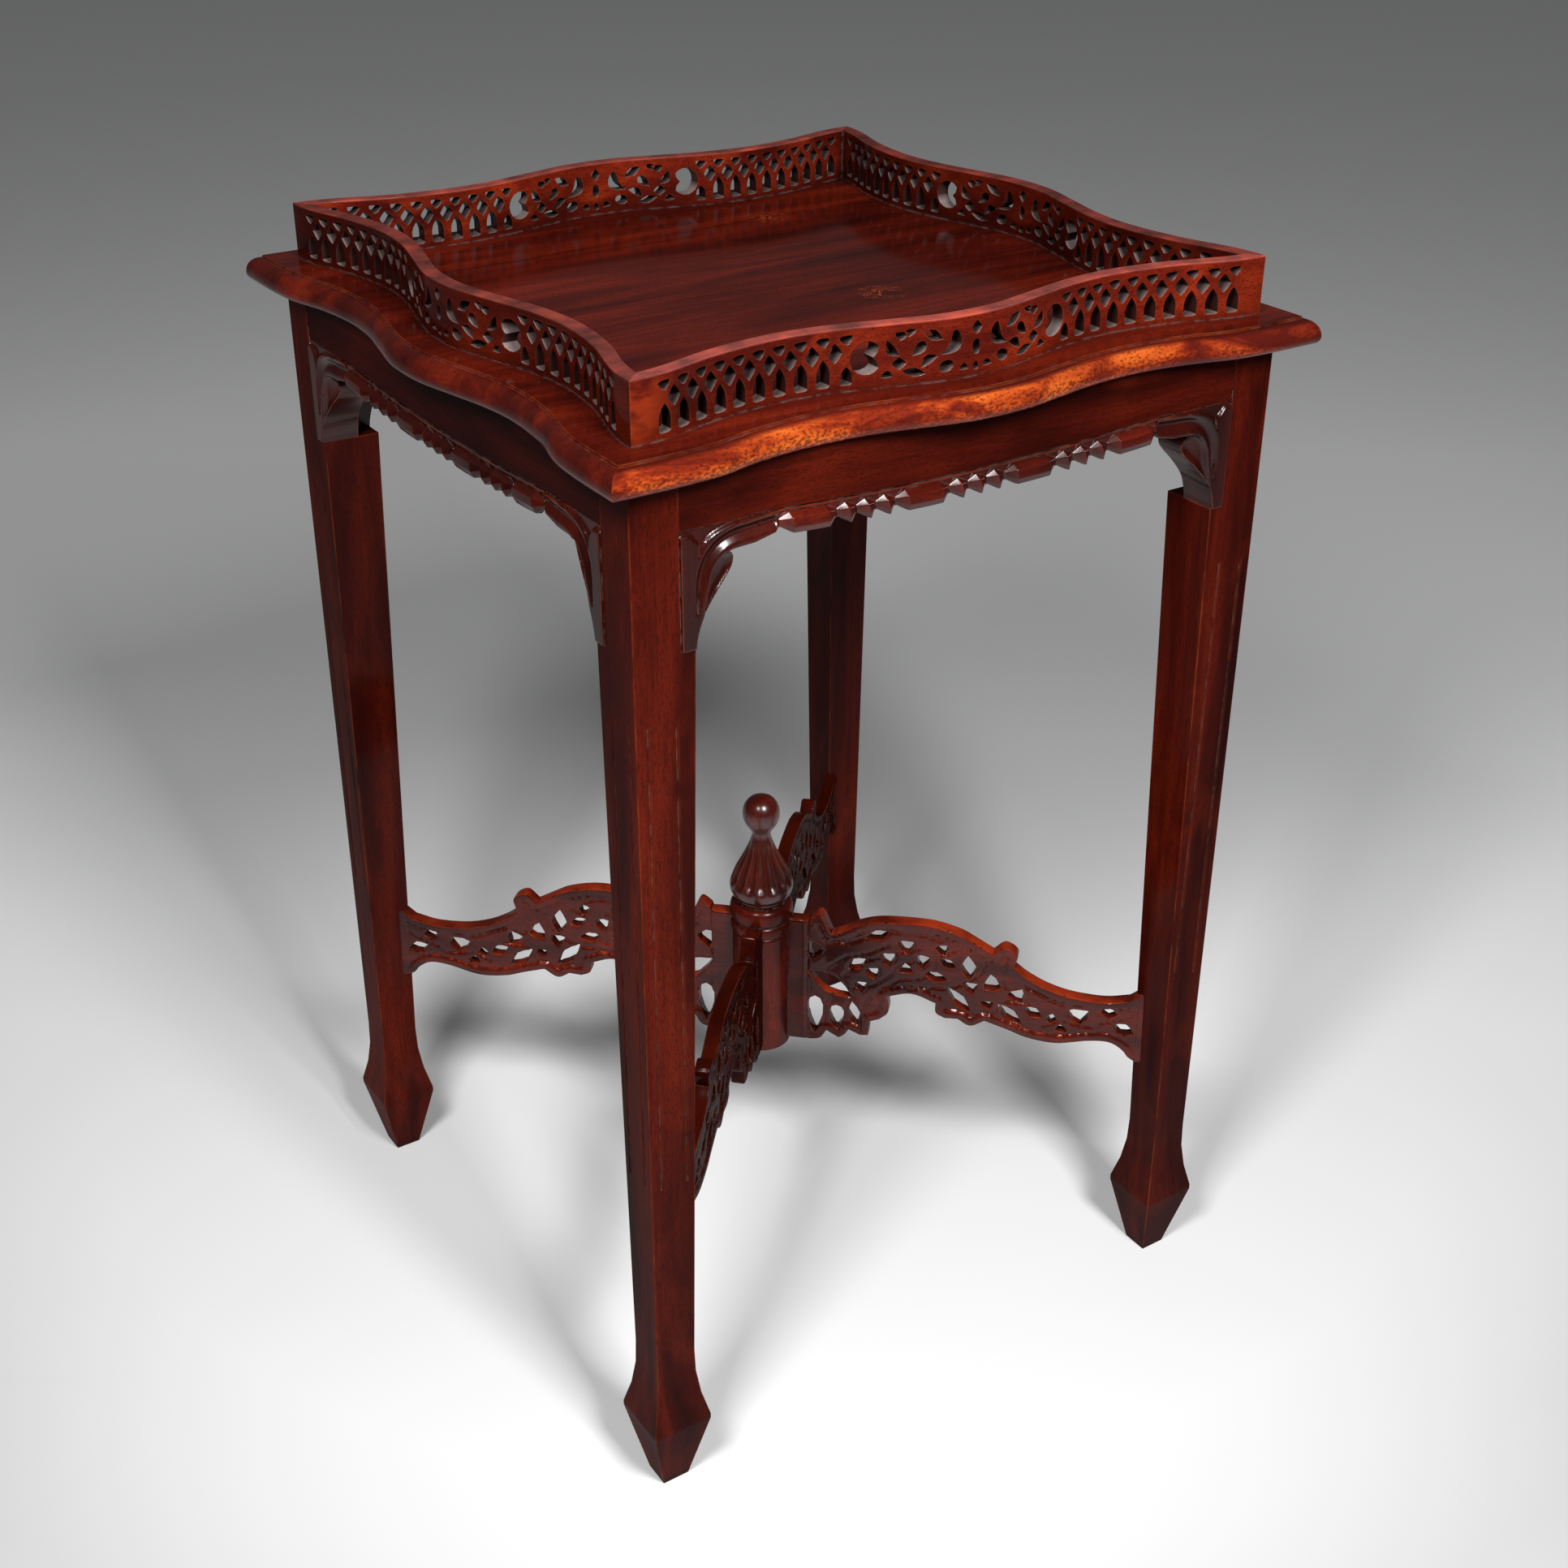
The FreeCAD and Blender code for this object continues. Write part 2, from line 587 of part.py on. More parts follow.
def tongue():
    corner = Vector(TONGUE_INNER, -ARM_TENON_THICKNESS / 2, TONGUE_BOTTOM)
    box = Part.makeBox(TONGUE_OUTER - TONGUE_INNER, ARM_TENON_THICKNESS, TONGUE_TOP - TONGUE_BOTTOM, corner)
    return along_arm(box)


def arm_tenon():
    """Tenon from the stretcher arm into the inner corner of the front left leg."""
    start = Vector(LEG_CORNER, -ARM_TENON_THICKNESS / 2, ARM_TENON_BOTTOM)
    length = ARM_TENON_DEPTH + ARM_THICKNESS
    box = Part.makeBox(length, ARM_TENON_THICKNESS, ARM_TENON_HEIGHT, start)
    return along_arm(box)


def stretcher_arm():
    """One pierced, arched arm from the hub to the front left leg, scribed to both."""
    near = -ARM_THICKNESS / 2
    place = lambda along, up: Vector(along * ARM_REACH, near, ARM_BOTTOM + up * ARM_RISE)
    panel = Part.Face(traced(ARM_OUTLINE_SHARES, place)).extrude(Vector(0, ARM_THICKNESS, 0))
    run = Vector(0, ARM_THICKNESS + OVERRUN + OVERRUN, 0)
    tools = []
    for kind, along, up, length, width, turn in ARM_OPENING_SHARES:
        x = along * ARM_REACH
        z = ARM_BOTTOM + up * ARM_RISE
        lay = lambda across, rise: Vector(x + across, near - OVERRUN, z + rise)
        tools.append(Part.Face(opening(kind, length * ARM_RISE, width * ARM_RISE, turn, lay)).extrude(run))
    for face in (near - BEAD_LINE_DEPTH, -near):
        corner = Vector(BEAD_LINE - BEAD_LINE_WIDTH, face, ARM_BOTTOM - OVERRUN)
        height = ARM_RISE + OVERRUN + OVERRUN
        tools.append(Part.makeBox(BEAD_LINE_WIDTH, BEAD_LINE_DEPTH + BEAD_LINE_DEPTH, height, corner))
    panel = panel.cut(Part.makeCompound(tools[:-2])).cut(tools[-2:])
    panel = along_arm(panel).cut([hub_core(), leg_core()])
    solids = sorted(panel.Solids, key=lambda solid: solid.Volume)
    return solids[-1].fuse([tongue(), arm_tenon()]).removeSplitter()


def stretcher_hub():
    """Turned hub with four slots for the arms and a bore for the finial's spigot."""
    tools = [turned(tongue(), quarters) for quarters in range(4)]
    return hub_core().cut(tools + [spigot()])


def finial():
    """Ball, neck and fluted bell in one piece with its spigot."""
    base = HUB_BOTTOM + HUB_RISE
    foot = turning(BASE_SHARES, FINIAL_RADIUS, base, FINIAL_RISE)
    bell = turning(BELL_SHARES, FINIAL_RADIUS, base, FINIAL_RISE, PETAL_DIP_SHARE)
    ball = turning(BALL_SHARES, FINIAL_RADIUS, base, FINIAL_RISE)
    return foot.fuse([bell, ball, spigot()]).removeSplitter()


def main():
    save(top_panel(), "top_panel")
    save(glue_blocks(), "glue_blocks")
    save(stretcher_hub(), "stretcher_hub")
    save(finial(), "finial")
    gallery = gallery_side()
    board = apron()
    rail = carved_rail()
    left_bracket = bracket()
    right_bracket = left_bracket.mirror(ORIGIN, Vector(1, 0, 0))
    post = leg()
    arm = stretcher_arm()
    for quarters, side in enumerate(SIDES):
        before = SIDES[quarters - 1]
        after = SIDES[(quarters + 1) % 4]
        save(turned(gallery, quarters), "gallery_" + side)
        save(turned(board, quarters), "apron_" + side)
        save(turned(rail, quarters), "carved_rail_" + side)
        save(turned(left_bracket, quarters), "bracket_" + side + "_" + before)
        save(turned(right_bracket, quarters), "bracket_" + side + "_" + after)
        save(turned(post, quarters), "leg_" + CORNERS[quarters])
        save(turned(arm, quarters), "stretcher_arm_" + CORNERS[quarters])


main()
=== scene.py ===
# %% [markdown]
# A silver table is a small square table that held the tea things: a tray top with a pierced gallery
# round it, on tapered legs tied together by an arched stretcher. This lesson dresses its imported model.
# The pieces that carry the table stay where the model has them, and every piece gets the softened
# edges, the carving and the worn polish that make old mahogany look the way it does, with some light
# and shade painted into that polish.

# %% Load the imported table
import math

import bmesh
import bpy
from mathutils import Matrix, Vector
from mathutils.kdtree import KDTree


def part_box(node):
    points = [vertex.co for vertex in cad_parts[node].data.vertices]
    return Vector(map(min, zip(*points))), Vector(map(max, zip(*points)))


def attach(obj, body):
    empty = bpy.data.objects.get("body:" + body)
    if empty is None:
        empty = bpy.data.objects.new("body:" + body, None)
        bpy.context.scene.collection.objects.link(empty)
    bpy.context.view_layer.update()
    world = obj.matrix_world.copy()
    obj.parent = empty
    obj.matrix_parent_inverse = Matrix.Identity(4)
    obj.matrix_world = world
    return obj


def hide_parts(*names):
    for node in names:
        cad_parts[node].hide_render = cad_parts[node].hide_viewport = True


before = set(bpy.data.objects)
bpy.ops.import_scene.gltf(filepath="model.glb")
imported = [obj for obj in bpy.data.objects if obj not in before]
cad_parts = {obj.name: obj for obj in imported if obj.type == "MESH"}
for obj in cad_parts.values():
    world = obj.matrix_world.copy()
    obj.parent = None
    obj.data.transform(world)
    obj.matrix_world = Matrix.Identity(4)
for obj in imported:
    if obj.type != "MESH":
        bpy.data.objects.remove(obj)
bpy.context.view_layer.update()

print("nodes in the frame:", len(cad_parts))

# %% [markdown]
# All lengths are in metres, so a size in millimetres is written with MM. The heights that other pieces
# depend on are read from the frame. That way a piece that is made here meets the ones it sits on.

# %% Heights read from the frame
MM = 0.001
SIDES = ("front", "right", "back", "left")
CORNERS = ("front_left", "front_right", "back_right", "back_left")
RIM_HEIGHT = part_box("gallery_front")[1].z
TOP_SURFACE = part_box("top_panel")[1].z
TOP_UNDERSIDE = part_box("top_panel")[0].z
APRON_FACE = -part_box("apron_front")[0].y
LEG_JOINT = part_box("bracket_front_right")[1].x
LEDGE_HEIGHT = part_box("bracket_front_right")[0].z
RAIL_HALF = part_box("carved_rail_front")[1].x
print("tray floor", round(TOP_SURFACE, 4), "rim", round(RIM_HEIGHT, 4))

# %% [markdown]
# The wood is one recipe with a few settings. Mahogany has a broad figure of lighter and darker bands,
# fine fibres and short dark pores, all drawn out along the grain, so each noise is stretched along X
# and a Mapping node turns that X to the grain of the piece. Three more layers follow: polish rubbed
# thin on the edges, which a Bevel node finds, dark grime with painted shade in wide hollows, and pale
# dust in tight corners, which Ambient Occlusion finds. All three are measured on the real mesh, so the
# wear and dust land where hands and dusters really reach or miss, and the hollows darken where shade falls.

# %% Short ways to make materials and to add and join shader nodes
def new_material(name):
    """A node material with its tree and its shader."""
    made = bpy.data.materials.new(name)
    made.use_nodes = True
    return made, made.node_tree, made.node_tree.nodes["Principled BSDF"]


def fill_in(tree, inputs, values):
    """Joins each input to another node's socket, or sets it to a value."""
    for key, value in values.items():
        if isinstance(value, bpy.types.NodeSocket):
            tree.links.new(value, inputs[key])
        else:
            inputs[key].default_value = value


def add(tree, kind, values=None, **settings):
    """A new shader node with its settings and what its inputs are joined or set to."""
    made = tree.nodes.new(kind)
    for key, value in settings.items():
        setattr(made, key, value)
    fill_in(tree, made.inputs, values or {})
    return made


def stretched_noise(tree, vector, along, across, detail, distortion=0.0):
    """Noise drawn out along X: along and across are features per metre."""
    drawn = add(tree, "ShaderNodeMapping", {"Vector": vector, "Scale": (along, across, across)})
    values = {"Vector": drawn.outputs["Vector"], "Scale": 1.0, "Detail": detail, "Roughness": 0.55,
              "Distortion": distortion}
    return add(tree, "ShaderNodeTexNoise", values).outputs["Fac"]


def opaque(colour):
    """A colour with its alpha, where one number stands for a grey; a socket stays as it is."""
    if isinstance(colour, (int, float)):
        colour = (colour,) * 3
    return (*colour, 1.0) if isinstance(colour, (tuple, list)) else colour


def ramp(tree, factor, *stops):
    """A colour ramp through stops of place and colour."""
    made = add(tree, "ShaderNodeValToRGB", {"Fac": factor})
    elements = made.color_ramp.elements
    while len(elements) < len(stops):
        elements.new(0.5)
    for element, (place, colour) in zip(elements, stops):
        element.position = place
        element.color = opaque(colour)
    return made.outputs["Color"]


def blended(tree, factor, first, second, mode="MIX"):
    """Two colours mixed by a factor; each of the three may be a socket."""
    mix = add(tree, "ShaderNodeMix", data_type="RGBA", blend_type=mode)
    inputs = {socket.name: socket for socket in mix.inputs if socket.enabled}
    fill_in(tree, inputs, {"Factor": factor, "A": opaque(first), "B": opaque(second)})
    return [socket for socket in mix.outputs if socket.enabled][0]


def calculated(tree, operation, first, second=0.5, clamp=False):
    """One step of arithmetic on sockets or numbers."""
    values = {0: first, 1: second}
    return add(tree, "ShaderNodeMath", values, operation=operation, use_clamp=clamp).outputs["Value"]


def times(tree, first, second, clamp=False):
    return calculated(tree, "MULTIPLY", first, second, clamp)


# %% Masks for worn edges, dusty corners and shaded hollows
MASK_SAMPLES = 6
EDGE_GAIN = 6.0
CORNER_FALL = 1.4


def edge_mask(tree, radius):
    """One on the arrises of a piece and zero on its flats."""
    soft = add(tree, "ShaderNodeBevel", {"Radius": radius}, samples=MASK_SAMPLES).outputs["Normal"]
    true = add(tree, "ShaderNodeNewGeometry").outputs["Normal"]
    dot = add(tree, "ShaderNodeVectorMath", {0: soft, 1: true}, operation="DOT_PRODUCT")
    away = calculated(tree, "SUBTRACT", 1.0, dot.outputs["Value"], clamp=True)
    return times(tree, away, EDGE_GAIN, clamp=True)


def corner_mask(tree, distance):
    """One deep in a corner or a carved hollow and zero on open faces."""
    occlusion = add(tree, "ShaderNodeAmbientOcclusion", {"Distance": distance}, samples=MASK_SAMPLES)
    shade = calculated(tree, "SUBTRACT", 1.0, occlusion.outputs["AO"], clamp=True)
    return calculated(tree, "POWER", shade, CORNER_FALL)


# %% [markdown]
# The polish is old shellac: dark, red and glossy, but not even. The shader's own coat gives the thin
# glossy film over the wood. Wear lowers nothing in that film, it only shows the orange wood below.
# The settings say how light a piece is, how much of it is rubbed, worn or dusty, and how strong and
# how blurred the shine of its coat is.

# %% The mahogany recipe
DARKEST = (0.018, 0.0020, 0.0014)
DEEP = (0.060, 0.0048, 0.0022)
WARM = (0.150, 0.0125, 0.0040)
RUBBED = (0.28, 0.026, 0.0060)
WORN = (0.44, 0.072, 0.012)
DUST = (0.115, 0.094, 0.088)
GRIME_AND_SHADE = (0.010, 0.0020, 0.0016)
GRAIN_TURNS = {"x": (0, 0, 0), "y": (0, 0, 90), "z": (0, 90, 0),
               "rising": (0, 0, 45), "falling": (0, 0, -45)}
WORN_REACH = 1.3 * MM
GRIME_AND_SHADE_REACH = 14 * MM
DUST_REACH = 2.5 * MM
RELIEF_DEPTH = 0.12 * MM


def shaded(colour, light):
    return [channel * light for channel in colour]


def mahogany(name, grain, wear=0.3, dust=0.6, gloss=0.24, light=1.0, rubbed=0.2, coat=0.12, sheen=0.12,
             shine=1.5, wear_and_light=None):
    """Old polished mahogany with its grain along one direction."""
    made, tree, shader = new_material("mahogany_" + name)
    place = add(tree, "ShaderNodeTexCoord").outputs["Object"]
    turn = [math.radians(angle) for angle in GRAIN_TURNS[grain]]
    wood = add(tree, "ShaderNodeMapping", {"Vector": place, "Rotation": turn}).outputs["Vector"]

    bands = stretched_noise(tree, wood, 4, 34, 4, 0.5)
    colour = ramp(tree, bands, (0.30, shaded(DARKEST, light)), (0.48, shaded(DEEP, light)),
                  (0.72, shaded(WARM, light)))
    clouds = stretched_noise(tree, wood, 16, 30, 3, 0.6)
    cloudy = times(tree, ramp(tree, clouds, (0.52, 0), (0.72, 1)), rubbed)
    colour = blended(tree, cloudy, colour, RUBBED)
    fibres = stretched_noise(tree, wood, 24, 620, 3)
    colour = blended(tree, 0.32, colour, ramp(tree, fibres, (0.32, 0.40), (0.66, 1.30)), "MULTIPLY")
    pores = stretched_noise(tree, wood, 330, 1900, 2)
    colour = blended(tree, ramp(tree, pores, (0.52, 0), (0.64, 0.65)), colour, DARKEST)
    if wear_and_light:
        colour = wear_and_light(tree, place, colour)

    patches = stretched_noise(tree, wood, 38, 70, 4, 0.4)
    edges = edge_mask(tree, WORN_REACH)
    orange = times(tree, edges, ramp(tree, patches, (0.38, 0), (0.60, 1)))
    colour = blended(tree, times(tree, orange, wear, clamp=True), colour, WORN)

    # Wide hollows darken over 14 mm of occlusion: grime, and painted shade where the recesses lie in shadow.
    shaded_hollows = ramp(tree, corner_mask(tree, GRIME_AND_SHADE_REACH), (0.08, 0), (0.55, 0.9))
    colour = blended(tree, shaded_hollows, colour, GRIME_AND_SHADE)
    corners = ramp(tree, corner_mask(tree, DUST_REACH), (0.16, 0), (0.42, 1))
    specks = stretched_noise(tree, wood, 130, 420, 4)
    dusty = times(tree, corners, ramp(tree, specks, (0.46, 0.05), (0.58, 1)))
    dusty = times(tree, dusty, dust, clamp=True)
    colour = blended(tree, dusty, colour, DUST)

    smears = stretched_noise(tree, wood, 14, 24, 4, 0.8)
    rough = calculated(tree, "ADD", times(tree, smears, 0.30), gloss - 0.10)
    rough = calculated(tree, "ADD", rough, times(tree, dusty, 0.5), clamp=True)
    relief = calculated(tree, "ADD", times(tree, fibres, 0.6), times(tree, smears, 0.8))
    bump = add(tree, "ShaderNodeBump", {"Strength": 0.25, "Distance": RELIEF_DEPTH, "Height": relief})
    fill_in(tree, shader.inputs, {"Base Color": colour, "Roughness": rough, "Normal": bump.outputs["Normal"],
                                  "IOR": 1.5, "Specular IOR Level": 0.0, "Coat Weight": coat,
                                  "Coat Roughness": sheen, "Coat IOR": shine})
    print("finish:", name)
    return made


# %% [markdown]
# Some places are marked in a way of their own, and no edge or corner explains them: the front of the
# moulding, where trays and hands slid over it, the rim of the gallery, the upper edges of two arms and
# two scuffs on the tray. Each is a small function that gets the colour made so far and mixes bare wood,
# dirt or dust over it, where a normal or a height picks the surface. The scuffs are wear alone. The
# others are wear with painted light: a painted highlight on the front of the moulding, the gallery's rim
# and the arms' upper edges, and painted shade on the lower nose and on the walls of the gallery's openings.

# %% Places where the polish is rubbed away, with painted highlights and shade
NOSE_TOP = TOP_UNDERSIDE + 0.90 * (TOP_SURFACE - TOP_UNDERSIDE)
NOSE_FADE = 1.5 * MM
NOSE_DARKER = ((0.06, 0.24, 0.15), (-0.12, -0.23, 0.04))
SCUFF_PLACES = ((0.051, -0.054), (0.091, 0.133))
SCUFF_REACH = 17 * MM
SCUFF_CORE = 5 * MM


def parts_of(tree, vector):
    """The X, Y and Z of a vector socket."""
    return add(tree, "ShaderNodeSeparateXYZ", {"Vector": vector}).outputs


def normal_parts(tree):
    return parts_of(tree, add(tree, "ShaderNodeNewGeometry").outputs["Normal"])


def between(tree, value, low, high):
    """Zero below low, one above high and even between them, for sizes as well as shares."""
    return calculated(tree, "DIVIDE", calculated(tree, "SUBTRACT", value, low), high - low, clamp=True)


def lit_and_worn_front(tree, place, colour):
    """Worn wood with a painted highlight on the moulding's front, and specks and painted shade low down."""
    where = parts_of(tree, place)
    # Only faces turned to the front, where the front lamp falls, get the bright orange: painted highlight
    # over worn wood.
    front = between(tree, times(tree, normal_parts(tree)["Y"], -1.0), 0.20, 0.65)
    front = times(tree, front, between(tree, where["Z"], NOSE_TOP, NOSE_TOP - NOSE_FADE))
    tones = stretched_noise(tree, place, 17, 60, 6, 0.9)
    for darker_from, darker_to, share in NOSE_DARKER:
        end = between(tree, where["X"], darker_from, darker_to)
        tones = calculated(tree, "SUBTRACT", tones, times(tree, end, share))
    orange = ramp(tree, tones, (0.33, (0.070, 0.0058, 0.0035)), (0.43, (0.17, 0.016, 0.004)),
                (0.51, (0.31, 0.042, 0.007)), (0.63, (0.46, 0.086, 0.012)))
    specks = stretched_noise(tree, place, 420, 750, 3)
    # The lower part of the nose, which curves under, is darkened: painted shade, with the dark specks.
    low = between(tree, where["Z"], NOSE_TOP, TOP_UNDERSIDE)
    specks_and_shade = ramp(tree, calculated(tree, "ADD", specks, times(tree, low, 0.20)), (0.52, 0), (0.72, 0.80))
    return blended(tree, front, colour, blended(tree, specks_and_shade, orange, (0.050, 0.0060, 0.0030)))


def distance_from(tree, place, middle):
    """How far each point of a surface lies from one place."""
    offset = add(tree, "ShaderNodeVectorMath", {0: place, 1: middle}, operation="SUBTRACT").outputs["Vector"]
    return add(tree, "ShaderNodeVectorMath", {0: offset}, operation="LENGTH").outputs["Value"]


def scuffed(tree, place, colour, x, y):
    """A few curling scratches, down to the bare wood, on the tray near one place."""
    reach = distance_from(tree, place, (x, y, TOP_SURFACE))
    here = between(tree, reach, SCUFF_REACH, SCUFF_CORE)
    curls = stretched_noise(tree, place, 95, 130, 1, 1.2)
    line = calculated(tree, "ABSOLUTE", calculated(tree, "SUBTRACT", curls, 0.5))
    scratch = times(tree, between(tree, line, 0.030, 0.008), here)
    return blended(tree, times(tree, scratch, 0.75), colour, (0.42, 0.075, 0.02))


def worn_and_lit_top(tree, place, colour):
    """The marked places of the top board: worn wood and painted light on its front moulding, and two scuffs.
    """
    for x, y in SCUFF_PLACES:
        colour = scuffed(tree, place, colour, x, y)
    return lit_and_worn_front(tree, place, colour)


# %% Age, painted highlights and painted shade on the gallery and the stretcher arms
STILE_INNER = -0.176
STILE_OUTER = -0.197
DIRT_AND_SHADE = (0.030, 0.018, 0.016)
DUST_AND_HIGHLIGHT = (0.20, 0.165, 0.155)
RIM_WEAR_AND_HIGHLIGHT = ((0.34, (0.09, 0.028, 0.024)), (0.52, (0.22, 0.046, 0.036)), (0.68, (0.38, 0.066, 0.040)))
RIM_BAND = 1.2 * MM
RIM_FULL = 0.3 * MM


def aged_and_shaded_gallery(light, outward, along, rubbed_end):
    """Worn end stile, rubbed rim with painted highlight, and opening walls of dirt and dust with painted
    light.
    """
    def wear_and_light(tree, place, colour):
        normal = normal_parts(tree)
        where = parts_of(tree, place)
        patches = ramp(tree, stretched_noise(tree, place, 55, 90, 4), (0.40, 0), (0.58, rubbed_end))
        end = times(tree, between(tree, where[along], STILE_INNER, STILE_OUTER), patches)
        colour = blended(tree, end, colour, (0.27, 0.028, 0.006))
        # The openings' walls: dark dirt and painted shade, turning to pale dust and painted highlight where
        # they face up.
        walls = between(tree, calculated(tree, "ABSOLUTE", normal[outward]), 0.75, 0.45)
        dirt_and_light = blended(tree, between(tree, normal["Z"], 0.15, 0.60), DIRT_AND_SHADE, DUST_AND_HIGHLIGHT)
        colour = blended(tree, times(tree, walls, 0.85), colour, dirt_and_light)
        # The rim's top band: rubbed wood with a painted highlight; a lower light gives painted shade on the
        # Y sides.
        rim = between(tree, where["Z"], RIM_HEIGHT - RIM_BAND, RIM_HEIGHT - RIM_FULL)
        tones = [(stop, shaded(tone, light)) for stop, tone in RIM_WEAR_AND_HIGHLIGHT]
        return blended(tree, rim, colour, ramp(tree, stretched_noise(tree, place, 45, 45, 4), *tones))
    return wear_and_light


def rubbed_and_lit_top(strength):
    """Orange on the up-facing edges of a stretcher arm: a painted highlight from above, and some wear."""
    def wear_and_light(tree, place, colour):
        patches = ramp(tree, stretched_noise(tree, place, 30, 30, 4), (0.40, 0.1), (0.62, strength))
        worn = times(tree, between(tree, normal_parts(tree)["Z"], 0.35, 0.80), patches)
        return blended(tree, worn, colour, (0.30, 0.028, 0.006))
    return wear_and_light


# %% The finishes of this table
# The copies for the sides along Y get lower lightness and less rubbing than those along X, and the falling
# arms much lower lightness and a weaker orange top than the rising ones: painted shade on those sides and
# arms.
GALLERY_GRAIN = (mahogany("gallery_x", "x", wear=0.22, rubbed=0.6, light=1.2, coat=0.2,
                          wear_and_light=aged_and_shaded_gallery(1.0, "Y", "X", 0.50)),
                 mahogany("gallery_y", "y", wear=0.10, rubbed=0.2, light=0.6, coat=0.2,
                          wear_and_light=aged_and_shaded_gallery(0.6, "X", "Y", 0.0))) * 2
ROPE_GRAIN = (mahogany("rope_x", "x", light=0.95, coat=0.8, sheen=0.18),
              mahogany("rope_y", "y", light=0.6, coat=0.8, sheen=0.18)) * 2
APRON_GRAIN = (mahogany("apron_x", "x", light=0.56, rubbed=0.12),
               mahogany("apron_y", "y", light=0.30, rubbed=0.04)) * 2
ARM_GRAIN = (mahogany("falling", "falling", light=0.24, rubbed=0.05, coat=0.18, sheen=0.14,
                      wear_and_light=rubbed_and_lit_top(0.05)),
             mahogany("rising", "rising", light=0.75, coat=0.55, sheen=0.16, wear_and_light=rubbed_and_lit_top(0.9))) * 2
LEG_GRAIN = mahogany("upright", "z", wear=0.6, dust=0.9, light=0.70, rubbed=0.12)
CARVED_GRAIN = mahogany("carved", "z", light=0.38, rubbed=0.08, coat=0.75, sheen=0.21)
TURNED_GRAIN = mahogany("turned", "z", light=0.52, rubbed=0.10, coat=1.0, sheen=0.26, shine=1.6)
HUB_GRAIN = mahogany("hub", "z", light=0.85, rubbed=0.25, coat=0.35, sheen=0.22)
TOP_BOARD = mahogany("top", "x", wear=0.5, dust=0.5, gloss=0.17, rubbed=0.08, coat=0.7, wear_and_light=worn_and_lit_top)

# %% Softwood for the hidden glue blocks
PINE_RELIEF = 0.2 * MM
PINE_TONES = ((0.34, (0.21, 0.115, 0.05)), (0.60, (0.40, 0.26, 0.13)))


def softwood():
    """Unpolished pine, which only the glue blocks are made of."""
    made, tree, shader = new_material("old_pine")
    rings = stretched_noise(tree, add(tree, "ShaderNodeTexCoord").outputs["Object"], 14, 260, 3, 0.5)
    bump = add(tree, "ShaderNodeBump", {"Strength": 0.3, "Distance": PINE_RELIEF, "Height": rings})
    fill_in(tree, shader.inputs, {"Base Color": ramp(tree, rings, *PINE_TONES), "Roughness": 0.75,
                                  "Normal": bump.outputs["Normal"]})
    return made


PINE = softwood()

# %% [markdown]
# Every new piece ends the same way. Its doubles are merged, its faces are turned outwards, it is hung
# on the body that carries it and given its wood, and the frame's nodes that it replaces are hidden.
# Most pieces have their sharp edges softened before that. Real arrises are never knife sharp, and the
# thin bright line on a softened edge is most of what makes a render of furniture look real. Weighted
# normals keep the flats flat beside those bevels.

# %% From a bmesh to a finished piece
SHARP = 32
CREASE = 50
DOUBLES = 0.002 * MM


def soften(bm, width, angle=SHARP):
    """Bevels every edge that is sharper than an angle in degrees."""
    edges = [edge for edge in bm.edges if edge.is_manifold and edge.calc_face_angle() > math.radians(angle)]
    bmesh.ops.bevel(bm, geom=edges, offset=width, segments=2, profile=0.5, affect="EDGES", material=-1)


def as_mesh(bm, name):
    """Closes a bmesh: merged, turned outwards and written to a smooth-shaded mesh."""
    bmesh.ops.remove_doubles(bm, verts=bm.verts, dist=DOUBLES)
    bmesh.ops.recalc_face_normals(bm, faces=bm.faces)
    mesh = bpy.data.meshes.new(name)
    bm.to_mesh(mesh)
    bm.free()
    for polygon in mesh.polygons:
        polygon.use_smooth = True
    mesh.set_sharp_from_angle(angle=math.radians(CREASE))
    return mesh


def put_in_scene(name, data):
    """A new object of the scene, at the origin."""
    made = bpy.data.objects.new(name, data)
    bpy.context.scene.collection.objects.link(made)
    return made


def place_piece(mesh, name, material, *replaced, slot="mahogany"):
    """Hangs a mesh on the table with its material and hides the CAD nodes that it replaces."""
    piece = put_in_scene(name, mesh)
    mesh.materials.clear()
    mesh.materials.append(material)
    weigh = piece.modifiers.new("flat_faces_stay_flat", "WEIGHTED_NORMAL")
    weigh.keep_sharp = True
    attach(piece, "root")
    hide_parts(*replaced)
    return piece


def quarter_turned(mesh, quarters):
    """A copy of a mesh turned round the middle of the table."""
    copy = mesh.copy()
    copy.transform(Matrix.Rotation(math.radians(90 * quarters), 4, "Z"))
    return copy


def place_round(mesh, name, grains, node, ends=SIDES):
    """Four copies of a mesh, one on each side or at each corner."""
    for quarters, end in enumerate(ends):
        place_piece(quarter_turned(mesh, quarters), name + end, grains[quarters], node + end)


# %% [markdown]
# Every side of the top and of the gallery swings in at two waists and out again in the middle. One
# formula gives that wave: a few stations along half a side, joined by smooth curves that leave each
# corner square to it. The moulding and the fret both read it, so they run parallel.

# %% The serpentine line
WAVE_SHARES = ((0, -0.08), (0.18, 0), (0.42, 0.38), (0.72, 0.85), (1.0, 1.0), (1.34, 0.72), (1.66, 0.13))


